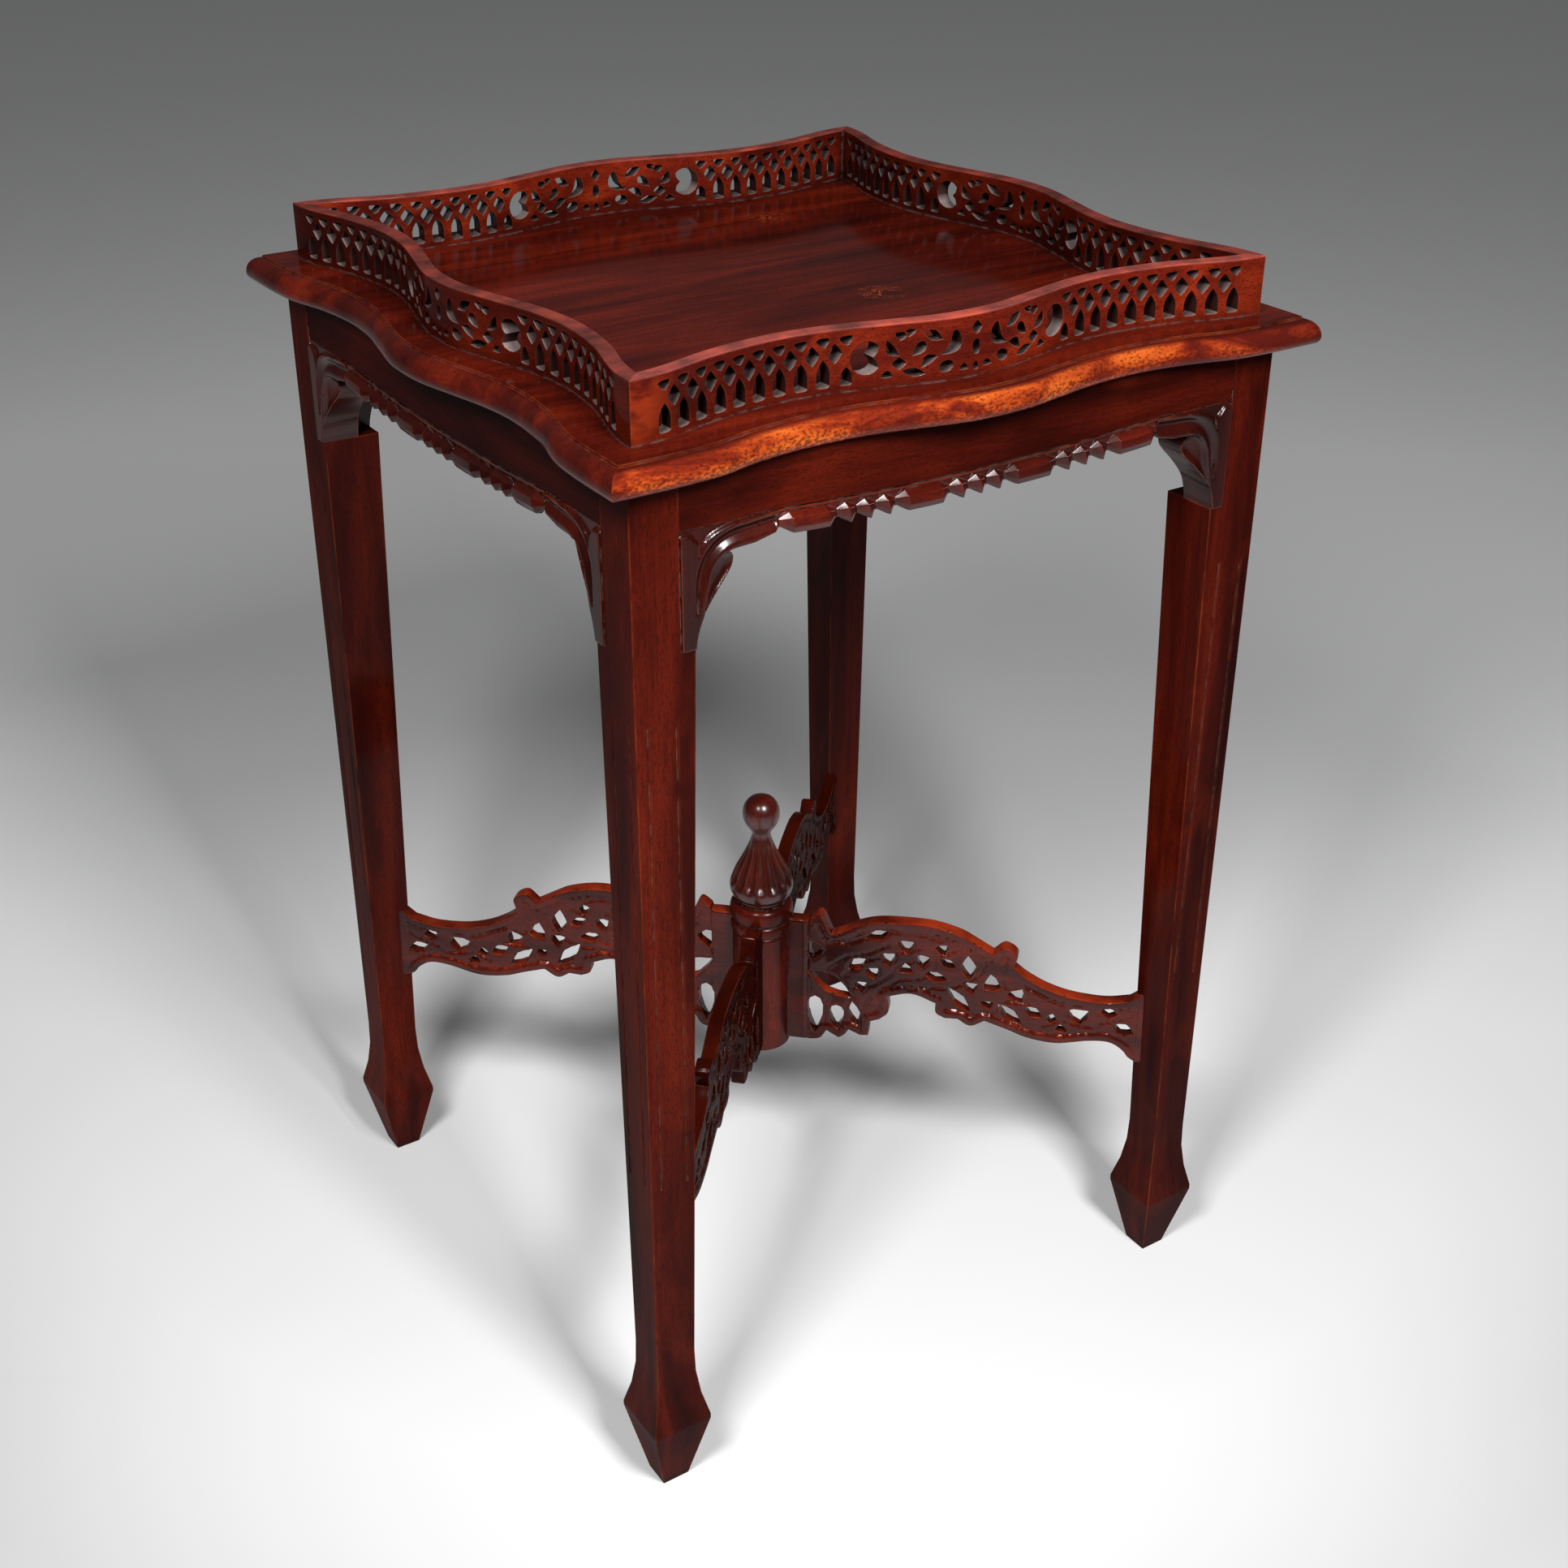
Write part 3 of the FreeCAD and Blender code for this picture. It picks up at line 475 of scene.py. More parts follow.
def wave(along, half, waist):
    """How far in a serpentine side lies at a place along it, as a share of its depth."""
    stations = [(share * waist, drop) for share, drop in WAVE_SHARES] + [(half, 0.0)]
    along = min(abs(along), half)
    last = len(stations) - 1
    step = max(i for i in range(last) if stations[i][0] <= along)

    def slope(i):
        if i in (0, last):
            return 0.0
        (x0, d0), (x1, d1) = stations[i - 1], stations[i + 1]
        return (d1 - d0) / (x1 - x0)

    (x0, d0), (x1, d1) = stations[step], stations[step + 1]
    span = x1 - x0
    t = (along - x0) / span
    return (d0 * (1 + 2 * t) * (1 - t) ** 2 + d1 * t * t * (3 - 2 * t)
            + span * (slope(step) * t * (1 - t) ** 2 - slope(step + 1) * t * t * (1 - t)))


# %% Rings of vertices that grow one into the next
def new_ring(bm, count, place):
    """A closed ring that starts as a circle and is moved, step by step, to where place() says."""
    ring = bmesh.ops.create_circle(bm, cap_ends=False, segments=count, radius=1)["verts"]
    ring = sorted(ring, key=lambda vert: math.atan2(vert.co.y, vert.co.x) % math.tau)
    for step, vert in enumerate(ring):
        vert.co = place(step)
    return ring


def ring_edges(bm, ring):
    return [bm.edges.get((ring[step - 1], ring[step])) for step in range(len(ring))]


def grow(bm, ring, place):
    """Extrudes a closed ring once and moves the new ring to where place() says."""
    grown = bmesh.ops.extrude_edge_only(bm, edges=ring_edges(bm, ring))["geom"]
    fresh = {item for item in grown if isinstance(item, bmesh.types.BMVert)}
    after = [next(edge.other_vert(vert) for edge in vert.link_edges if edge.other_vert(vert) in fresh)
             for vert in ring]
    for step, vert in enumerate(after):
        vert.co = place(step)
    return after


def grown_solid(bm, count, places):
    """A closed solid: rings of vertices, each grown out of the last, with a face over either end."""
    ring = new_ring(bm, count, places[0])
    bmesh.ops.contextual_create(bm, geom=ring_edges(bm, ring))
    for place in places[1:]:
        ring = grow(bm, ring, place)
    bmesh.ops.contextual_create(bm, geom=ring_edges(bm, ring))


# %% [markdown]
# The top is one board with a thumb moulding worked all round it. A moulding is a section drawn along
# an edge, so the mesh is a stack of rings: each follows the serpentine a little further in and a
# little higher than the last, up the nose, over the quirk, down and up the groove that holds the
# gallery, and across the tray.

# %% The top board
CHORDS = 72
TOP_HALF = 233 * MM
TOP_WAIST = 0.45 * TOP_HALF
TOP_WAIST_DEPTH = 13 * MM
GALLERY_HALF = 207.5 * MM
GALLERY_WAIST = 0.54 * GALLERY_HALF
GALLERY_WAIST_DEPTH = 17.5 * MM
GALLERY_THICKNESS = 9 * MM
GROOVE_DEPTH = 5 * MM
MOULDING_WIDTH = 8.5 * MM
NOSE_SHARES = ((0, 0.55), (0.02, 0.34), (0.07, 0.16), (0.16, 0.04), (0.28, 0), (0.42, 0.02), (0.55, 0.09),
               (0.67, 0.20), (0.77, 0.36), (0.85, 0.56), (0.895, 0.76), (0.905, 0.97), (0.915, 1.0),
               (0.985, 1.0), (1.0, 1.04))


def on_plan(step, half, waist, depth, z):
    """A point of a serpentine square, counted round from its near left corner."""
    side, along = divmod(step, CHORDS)
    x = half * (2 * along / CHORDS - 1)
    y = depth * wave(x, half, waist) - half
    return Matrix.Rotation(math.radians(90 * side), 3, "Z") @ Vector((x, y, z))


def top_board():
    """The moulded top with the groove for its gallery."""
    def edge_at(up, inset):
        half = TOP_HALF - inset * MOULDING_WIDTH
        z = TOP_UNDERSIDE + up * (TOP_SURFACE - TOP_UNDERSIDE)
        return lambda step: on_plan(step, half, TOP_WAIST, TOP_WAIST_DEPTH, z)

    def groove_at(inset, z):
        half = GALLERY_HALF - inset
        return lambda step: on_plan(step, half, GALLERY_WAIST, GALLERY_WAIST_DEPTH, z)

    bottom = TOP_SURFACE - GROOVE_DEPTH
    groove = ((0, TOP_SURFACE), (0, bottom), (GALLERY_THICKNESS, bottom), (GALLERY_THICKNESS, TOP_SURFACE))
    rings = [edge_at(*share) for share in NOSE_SHARES] + [groove_at(*place) for place in groove]
    bm = bmesh.new()
    grown_solid(bm, 4 * CHORDS, rings)
    return as_mesh(bm, "top_board")


place_piece(top_board(), "top_board", TOP_BOARD, "top_panel")
print("top board made")

# %% [markdown]
# A fret is sawn from a thin board through a paper pattern. The mesh is made the same way: the openings
# are drawn as closed rings on a flat board, each bent out of a circle, one fill covers everything
# between them, and an extrusion gives the board its thickness. Only then is it bent to the serpentine.

# %% Outlines of the openings
def polygon_point(angle, corners, first):
    """A regular polygon with eased corners."""
    turn = (angle - math.radians(first)) % (math.tau / corners) - math.pi / corners
    reach = min(math.cos(math.pi / corners) / math.cos(turn), 0.93)
    reach = 0.56 * reach + 0.02
    return reach * math.cos(angle), reach * math.sin(angle)


def lancet_point(angle):
    """A pointed arch on a flat sill."""
    across, up = math.cos(angle), math.sin(angle)
    if up > 0:
        return math.copysign(0.5 * (1 - up ** 1.7), across), 0.5 * up
    return math.copysign(0.5 * min(1, 1.5 * abs(across)), across), 0.5 * max(-1, 1.25 * up)


def leaf_point(angle, bend=0.0):
    """Pointed at both ends and full in the middle; a bend curls it."""
    along = math.cos(angle)
    half = 0.5 * (1 - abs(along) ** 1.6) * abs(math.sin(angle)) ** 0.2
    return 0.5 * along, math.copysign(half, math.sin(angle)) + bend * (along * along - 0.5)


def drop_point(angle):
    """Round at one end and pointed at the other."""
    along = math.cos(angle)
    return 0.5 * along, 0.43 * math.sin(angle) * (1 - along) ** 0.45


def kidney_point(angle):
    """A round hole with a bud growing in from one side."""
    turn = (angle + math.pi) % math.tau - math.pi
    bite = 0.62 * math.exp(-(turn / 0.42) ** 2)
    return (0.5 - 0.5 * bite) * math.cos(angle), (0.5 - 0.3 * bite) * math.sin(angle)


def hook_point(angle):
    """A comma: a round head and a tail that curls away."""
    along = math.cos(angle)
    return 0.5 * along, 0.3 * math.sin(angle) * (1 - 0.75 * along) + 0.34 * along * along - 0.1


OPENINGS = {
    "triangle": (9, lambda angle: polygon_point(angle, 3, -90)),
    "diamond": (12, lambda angle: polygon_point(angle, 4, 90)),
    "lancet": (16, lancet_point),
    "leaf": (12, leaf_point),
    "bent_leaf": (14, lambda angle: leaf_point(angle, 0.35)),
    "drop": (12, drop_point),
    "oval": (12, lambda angle: (0.5 * math.cos(angle), 0.5 * math.sin(angle))),
    "kidney": (18, kidney_point),
    "hook": (18, hook_point),
}


def opening_path(kind, x, z, width, height, turn=0, flip=1):
    """One opening as a closed path on its board: X along it, Y up it, leaning by a turn in degrees."""
    count, rule = OPENINGS[kind]
    lean = math.radians(turn)
    path = []
    for step in range(count):
        across, up = rule(math.tau * step / count)
        across *= width
        up *= height
        path.append(Vector((x + flip * (across * math.cos(lean) - up * math.sin(lean)),
                            z + across * math.sin(lean) + up * math.cos(lean), 0)))
    return path


def draw_line(bm, path):
    """A closed path as a ring of edges on an upright board: X along it, Z up it."""
    new_ring(bm, len(path), lambda step: Vector((path[step].x, 0, path[step].y)))


def fill_between(bm):
    """Covers the board between its outline and its openings."""
    bmesh.ops.triangle_fill(bm, use_beauty=True, use_dissolve=False, edges=bm.edges[:])


def cut_across(bm, place, normal, near, **settings):
    """Cuts everything along one plane."""
    return bmesh.ops.bisect_plane(bm, geom=bm.verts[:] + bm.edges[:] + bm.faces[:], dist=near,
                                  plane_co=place, plane_no=normal, **settings)


def thicken(bm, depth):
    """Gives a flat board, laid out at y = 0, its thickness towards +Y."""
    grown = bmesh.ops.extrude_face_region(bm, geom=bm.faces[:])["geom"]
    moved = [item for item in grown if isinstance(item, bmesh.types.BMVert)]
    bmesh.ops.translate(bm, vec=(0, depth, 0), verts=moved)


# %% [markdown]
# Each gallery side has ten columns of lattice at either end, small triangles over pointed arches with
# diamonds between, and scrollwork in the middle. The board is cut by upright planes every few
# millimetres before it is bent, because a flat face can't bend, and mitred at both ends after.

# %% Pattern of a gallery side
LATTICE_PITCH = 12.7 * MM
LATTICE_COLUMNS = 10
LATTICE_STILE = 20.5 * MM
# kind, height of its middle as a share of the gallery's, width and height in millimetres
TRIANGLE = ("triangle", 0.82, 9.4, 6.6)
ARCH = ("lancet", 0.32, 7.6, 14.5)
LAST_ARCH = ("lancet", 0.25, 6.4, 9.5)
DIAMOND = ("diamond", 0.62, 7.6, 9.6)
# the same with the place along the right half (mm) after the kind and a lean (degrees) at the end
SCROLLWORK = (
    ("kidney", 62.0, 0.50, 17.5, 17.5, 180),
    ("bent_leaf", 48.5, 0.60, 11.0, 5.4, 52),
    ("triangle", 43.5, 0.80, 9.0, 5.6, 0),
    ("diamond", 44.5, 0.36, 7.4, 6.0, 0),
    ("triangle", 51.0, 0.20, 8.0, 4.8, 180),
    ("leaf", 36.5, 0.20, 13.0, 4.6, 12),
    ("drop", 34.0, 0.56, 9.5, 6.0, -40),
    ("leaf", 26.5, 0.76, 12.5, 5.4, 28),
    ("oval", 18.5, 0.24, 8.6, 6.0, -12),
    ("bent_leaf", 28.5, 0.36, 10.5, 5.0, 150),
    ("hook", 15.0, 0.56, 15.0, 11.0, -50),
    ("triangle", 7.6, 0.18, 7.0, 4.6, 180),
    ("drop", 38.5, 0.84, 6.0, 3.8, 160),
)
CENTRE = (("diamond", 0, 0.78, 6.2, 6.6, 0), ("oval", 0, 0.47, 8.0, 5.0, 90),
          ("drop", 0, 0.17, 4.6, 4.0, 90))


def gallery_pattern(bm):
    """The outline of a gallery side and every opening in it."""
    height = RIM_HEIGHT - TOP_SURFACE

    def cut(kind, x, up, width, tall, turn=0, flip=1):
        draw_line(bm, opening_path(kind, x, TOP_SURFACE + up * height, width * MM, tall * MM, turn, flip))

    low = TOP_SURFACE - GROOVE_DEPTH
    draw_line(bm, [Vector((-GALLERY_HALF, low, 0)), Vector((GALLERY_HALF, low, 0)),
                   Vector((GALLERY_HALF, RIM_HEIGHT, 0)), Vector((-GALLERY_HALF, RIM_HEIGHT, 0))])
    for sign in (-1, 1):
        for column in range(LATTICE_COLUMNS):
            x = sign * (GALLERY_HALF - LATTICE_STILE - column * LATTICE_PITCH)
            last = column == LATTICE_COLUMNS - 1
            for kind, *sizes in (TRIANGLE, LAST_ARCH if last else ARCH):
                cut(kind, x, *sizes)
            if not last:
                kind, *sizes = DIAMOND
                cut(kind, x - sign * LATTICE_PITCH / 2, *sizes)
        for kind, x, *sizes in SCROLLWORK:
            cut(kind, sign * x * MM, *sizes, sign)
    for opening in CENTRE:
        cut(*opening)


# %% Fill, thicken, bend and mitre a gallery side
STRIP = 5 * MM
CUT_NEAR = 0.001 * MM
FINE_EASE = 0.35 * MM


def gallery_side():
    """One side of the gallery, as the front has it."""
    bm = bmesh.new()
    gallery_pattern(bm)
    fill_between(bm)
    count = int(2 * GALLERY_HALF / STRIP)
    for step in range(1, count):
        cut_across(bm, (-GALLERY_HALF + step * 2 * GALLERY_HALF / count, 0, 0), (1, 0, 0), CUT_NEAR)
    thicken(bm, GALLERY_THICKNESS)
    for vert in bm.verts:
        vert.co.y += GALLERY_WAIST_DEPTH * wave(vert.co.x, GALLERY_HALF, GALLERY_WAIST) - GALLERY_HALF
    for sign in (-1, 1):
        cut = cut_across(bm, (0, 0, 0), (sign, 1, 0), CUT_NEAR, clear_outer=True)
        rim = [item for item in cut["geom_cut"] if isinstance(item, bmesh.types.BMEdge)]
        bmesh.ops.edgeloop_fill(bm, edges=[edge for edge in rim if edge.is_boundary])
    bmesh.ops.recalc_face_normals(bm, faces=bm.faces)
    soften(bm, FINE_EASE, 40)
    return as_mesh(bm, "gallery")


gallery_mesh = gallery_side()
place_round(gallery_mesh, "fret_", GALLERY_GRAIN, "gallery_")
print("gallery faces on each side:", len(gallery_mesh.polygons))

# %% [markdown]
# Legs, aprons and blocks have their true shape in the frame already. They only lack softened edges, so
# a merged copy of each node is dissolved back to its flat faces and bevelled.

# %% Legs, aprons and glue blocks
FRAME_DOUBLES = 0.005 * MM
FLAT_ANGLE = math.radians(1)
APRON_EASE = 0.5 * MM
BLOCK_EASE = 0.6 * MM


def softened_copy(node, width):
    """A merged copy of a node of the frame with its edges eased."""
    bm = bmesh.new()
    bm.from_mesh(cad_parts[node].data)
    bmesh.ops.remove_doubles(bm, verts=bm.verts, dist=FRAME_DOUBLES)
    bmesh.ops.dissolve_limit(bm, angle_limit=FLAT_ANGLE, verts=bm.verts, edges=bm.edges)
    soften(bm, width)
    return as_mesh(bm, node + "_eased")


for corner in CORNERS:
    node = "leg_" + corner
    place_piece(softened_copy(node, FINE_EASE), "tapered_" + node, LEG_GRAIN, node)
for grain, side in zip(APRON_GRAIN, SIDES):
    node = "apron_" + side
    place_piece(softened_copy(node, APRON_EASE), "frieze_" + side, grain, node)
place_piece(softened_copy("glue_blocks", BLOCK_EASE), "corner_blocks", PINE, "glue_blocks", slot="pine")
print("legs, aprons and blocks eased")

# %% [markdown]
# The rope under each apron is carved from a strip: long bars with their ends cut back, and groups of
# three pointed beads between them. Each one is a section that starts small, swells and shrinks again
# along the strip, so it is built as a few rings, one growing out of the last.

# %% The carved rails
RAIL_HEIGHT = 11 * MM
RAIL_SAG = 4.5 * MM
RAIL_SWELL = 5.4 * MM
RAIL_SEAT = 9 * MM
APRON_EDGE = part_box("bracket_front_right")[1].z - RAIL_HEIGHT
BEAD_PITCH = 12.4 * MM
BEADS = 3
BARS = 4
BAR_SHARES = ((-0.04, -0.24), (0.66, -0.18), (1.0, 0.16), (0.94, 0.60), (0.34, 0.86), (-0.04, 0.88))
BAR_AXIS = 0.36
BAR_BELLY = 1.05
BAR_CHAMFER = 6.5 * MM
BAR_SLANT = 2.2 * MM
BEAD_SLANT = 3.4 * MM
TIP_SIZE = 0.12
TIP_HEIGHT = 0.36
CARVED_GAP = 0.3 * MM
RAIL_CHORDS = 24
FILLET = -0.8 * MM
# the backing's section: how far behind the apron's face in metres, and how high as a share of the rail
BACKING = ((0.0, 0.10), (0.0, 0.90), (FILLET, 0.90), (FILLET, 1.0), (RAIL_SEAT, 1.0), (RAIL_SEAT, 0.10))


def sag(x):
    return RAIL_SAG * max(0.0, 1 - (x / RAIL_HALF) ** 2)


def carved_bar(bm, start, end, chamfer, slant=0.0):
    """A bar of the rope from start to end, its ends cut back over a length of chamfer."""
    def section(x, size, low_size):
        def place(step):
            out, up = BAR_SHARES[step]
            rise = (BAR_AXIS + (up - BAR_AXIS) * low_size) * RAIL_HEIGHT
            lean = slant * (BAR_AXIS - up) * size
            return Vector((x + lean, -APRON_FACE - out * size * RAIL_SWELL, APRON_EDGE - sag(x) + rise))
        return place

    stations = [(start, TIP_SIZE, TIP_HEIGHT), (start + chamfer, 1, 1)]
    if end - start > 2.5 * chamfer:
        stations += [((start + end) / 2, BAR_BELLY, 1), (end - chamfer, 1, 1)]
    stations += [(end, TIP_SIZE, TIP_HEIGHT)]
    grown_solid(bm, len(BAR_SHARES), [section(*station) for station in stations])


def rail_backing(bm):
    """The strip behind the rope, with a thin fillet along its upper edge."""
    def station(x):
        return lambda step: Vector((x, BACKING[step][0] - APRON_FACE,
                                    APRON_EDGE - sag(x) + BACKING[step][1] * RAIL_HEIGHT))

    grown_solid(bm, len(BACKING), [station(RAIL_HALF * (2 * step / RAIL_CHORDS - 1))
                                   for step in range(RAIL_CHORDS + 1)])


def carved_rail():
    bm = bmesh.new()
    group = BEADS * BEAD_PITCH
    long = (2 * RAIL_HALF - (BARS - 1) * group) / BARS
    x = -RAIL_HALF
    for place in range(BARS):
        carved_bar(bm, x + CARVED_GAP, x + long - CARVED_GAP, BAR_CHAMFER, BAR_SLANT)
        x += long
        if place < BARS - 1:
            for bead in range(BEADS):
                end = x + BEAD_PITCH
                carved_bar(bm, x + CARVED_GAP, end - CARVED_GAP, BEAD_PITCH / 2 - CARVED_GAP, BEAD_SLANT)
                x = end
    bmesh.ops.recalc_face_normals(bm, faces=bm.faces)
    soften(bm, FINE_EASE, 14)
    rail_backing(bm)
    return as_mesh(bm, "rope")


rail_mesh = carved_rail()
place_round(rail_mesh, "rope_", ROPE_GRAIN, "carved_rail_")
print("rope faces:", len(rail_mesh.polygons))

# %% [markdown]
# Carved boards are modelled as a carver works them. The outline and the openings are sawn first. The
# board then gets a fine grid of vertices, and each vertex is sunk by a depth that depends on how near
# it lies to an edge, to the border line or to a stroke of the gouge.

# %% Lines and distances on a board, in millimetres
CURVE_STEP = 2.2


def traced(start, *runs):
    """Points along an outline: a run of one point is straight, a longer one is a smooth curve."""
    points = [Vector((*start, 0))]
    for run in runs:
        knots = [points[-1]] + [Vector((*knot, 0)) for knot in run]
        if len(run) == 1:
            points.append(knots[1])
            continue
        knots = [2 * knots[0] - knots[1]] + knots + [2 * knots[-1] - knots[-2]]
        for i in range(1, len(knots) - 2):
            before, first, second, after = knots[i - 1:i + 3]
            pieces = max(2, min(7, round((second - first).length / CURVE_STEP)))
            for step in range(1, pieces + 1):
                t = step / pieces
                points.append(0.5 * (2 * first + (second - before) * t
                                     + (2 * before - 5 * first + 4 * second - after) * t * t
                                     + (3 * first - before - 3 * second + after) * t ** 3))
    return points


def distance_to(paths, step=0.5):
    """A function that tells how far a point lies from a set of open paths."""
    dense = []
    for path in paths:
        for a, b in zip(path, path[1:]):
            count = max(1, math.ceil((b - a).length / step))
            dense += [(a.lerp(b, i / count), a.lerp(b, (i + 1) / count)) for i in range(count)]
    tree = KDTree(len(dense))
    for index, (start, end) in enumerate(dense):
        tree.insert((start + end) / 2, index)
    tree.balance()

    def to_segment(point, start, end):
        share = (point - start).dot(end - start) / max((end - start).length_squared, 1e-9)
        return (point - start.lerp(end, min(1.0, max(0.0, share)))).length

    return lambda point: min(to_segment(point, *dense[index]) for _, index, _ in tree.find_n(point, 3))


def closed(path):
    return list(path) + [path[0]]


# %% Cuts of the gouge, and the board that they sink
def eased(distance, radius):
    """Depth of a rounded edge at a distance from it."""
    if distance >= radius:
        return 0.0
    return radius - math.sqrt(max(0.0, radius ** 2 - (radius - distance) ** 2))


def gouged(distance, half_width, depth):
    """Depth of a gouge stroke at a distance from its middle."""
    if distance >= half_width:
        return 0.0
    return depth * (0.5 + 0.5 * math.cos(math.pi * distance / half_width))


def smooth(share):
    """Zero below nought, one above one and an even swell between them."""
    share = min(1.0, max(0.0, share))
    return share * share * (3 - 2 * share)


GRID_NEAR = 0.02


def carved_board(outline, openings, grid, edge, thickness, front, back):
    """A board in the XZ plane, drawn in millimetres, with its front and back sunk by two functions."""
    bm = bmesh.new()
    for path in [outline] + openings:
        draw_line(bm, path)
    fill_between(bm)
    for width in (0.35 * edge, 0.65 * edge):
        bmesh.ops.inset_region(bm, faces=bm.faces[:], thickness=width, use_boundary=True,
                               use_even_offset=True)
    for axis in (0, 2):
        places = [vert.co[axis] for vert in bm.verts]
        plane = Vector((0, 0, 0))
        plane[axis] = 1
        for line in range(math.ceil(min(places) / grid), math.ceil(max(places) / grid)):
            cut_across(bm, plane * line * grid, plane, GRID_NEAR)
    thicken(bm, thickness)
    for vert in bm.verts:
        point = Vector((vert.co.x, vert.co.z, 0))
        vert.co.y = back(point) if vert.co.y > thickness / 2 else front(point)
    bmesh.ops.scale(bm, vec=(MM, MM, MM), verts=bm.verts)
    return bm


# %% [markdown]
# A stretcher arm is a pierced board, arched like a bridge, with a plain stile at the leg. Straps of
# leafwork run between the openings. They could be built one by one, but a carver starts from the
# whole board, and so does this cell: it holds the sawn lines and the middle lines of the strokes.

# %% Lines of the stretcher arm, in millimetres out from the table's middle and up from the floor
ARM_THICKNESS = 10.0
ARM_STILE = 35.0
ARM_RIM = 5.4
ARM_OUTLINE = traced(
    (18, 144), [(36, 144)], [(43.5, 146), (48, 153)], [(57, 148)], [(61, 151), (64, 156)], [(72, 152.5)],
    [(78, 153)], [(79, 165)], [(86, 168)], [(92, 175), (91, 188)], [(108, 192.5), (125, 187)],
    [(125.5, 179), (132, 175.5)], [(141, 176)], [(150, 171.5), (160, 177)],
    [(176, 172), (190, 167.3), (210, 165.5), (232, 170.5), (246, 171.5), (255, 167), (260, 161)],
    [(266, 157.5), (270, 159)], [(270, 211)], [(266, 213.5), (258, 207.5)],
    [(241, 204), (219, 205), (202, 209.5), (188, 216.5), (178, 224)], [(180, 234), (171, 239.5), (163, 233)],
    [(150, 240.5), (139, 246), (122, 250), (105, 250.4), (85, 249), (71, 245), (60, 239), (51, 234.5)],
    [(48, 241)], [(43, 250.4), (35.6, 246)], [(35, 243.5)], [(18, 243.5)], [(18, 194)])
# kind, middle, length and width, and lean in degrees
ARM_OPENINGS = (
    ("triangle", 39, 220, 18, 13, 90), ("leaf", 50, 193, 38, 14.5, -32),
    ("drop", 39.5, 166, 30.5, 12.5, -90), ("drop", 55, 165.5, 19, 11.5, -90),
    ("leaf", 67.5, 170, 19, 8.5, -80), ("triangle", 72, 194, 11.5, 10, 0), ("leaf", 69, 212, 15, 9, 38),
    ("triangle", 90.5, 219, 13.5, 13.5, 0), ("triangle", 80, 206, 12, 11.5, 10),
    ("leaf", 83, 237.5, 16.5, 7.5, 24), ("triangle", 103, 231, 14.5, 13, 0),
    ("triangle", 115, 220.5, 12, 13.5, -15), ("triangle", 103.5, 212, 11.5, 10, 180),
    ("leaf", 124.5, 208.5, 16, 7.5, -10), ("triangle", 128, 231.5, 10, 10, 10),
    ("leaf", 132.5, 220.5, 13, 6.5, -25), ("diamond", 147, 219, 17.5, 10, -85),
    ("triangle", 149, 203, 13, 11.5, 0), ("triangle", 163.5, 208, 14.5, 16.5, 180),
    ("triangle", 181, 200.5, 15, 13.5, 20), ("leaf", 141, 191.5, 25.5, 9, -48),
    ("triangle", 161, 190.5, 11.5, 7.5, 0), ("leaf", 177, 184.5, 22.5, 8.5, -42),
    ("leaf", 193, 188.5, 14, 8, -28), ("diamond", 206, 185, 6.5, 7, -10),
    ("triangle", 224, 190, 19.5, 16, 0), ("triangle", 213, 177.5, 10, 7, 180),
    ("diamond", 245, 195, 10.5, 7.5, -4), ("leaf", 255.5, 183, 15, 9, -20))
ARM_STROKES = (
    ((44, 232), (58, 228), (74, 234), (92, 241), (112, 242), (128, 238)),
    ((48, 206), (60, 216), (76, 222), (90, 230)),
    ((60, 202), (76, 216), (96, 224), (112, 230)),
    ((62, 190), (80, 196), (92, 206), (97, 214), (108, 219)),
    ((84, 190), (98, 202), (114, 206), (122, 214), (124, 224), (138, 232)),
    ((104, 196), (122, 199), (138, 202), (154, 214), (158, 226)),
    ((132, 184), (146, 182), (164, 184), (172, 194), (190, 195)),
    ((170, 214), (174, 206), (188, 208), (206, 200), (216, 197)),
    ((200, 178), (214, 184), (232, 181), (240, 186), (252, 190), (262, 196)),
    ((60, 158), (62, 176), (66, 184)), ((47, 156), (46, 172), (50, 182)), ((72, 158), (73, 174), (78, 186)),
)


# %% Carve the arm
STILE_GROOVE = 1.2
STILE_GROOVE_DEPTH = 1.3
GROUND_DEPTH = 0.9
GROUND_SLOPE = 1.6
BORDER_INSET = 0.9
STROKE_WIDTH = 1.3
STROKE_DEPTH = 1.1
HOLE_DISH = 0.5
HOLE_DISH_REACH = 2.6
CARVING_FADE = 12
ARM_GRID = 1.5
ARM_EDGE = 1.0
HOLE_EDGE = 0.6


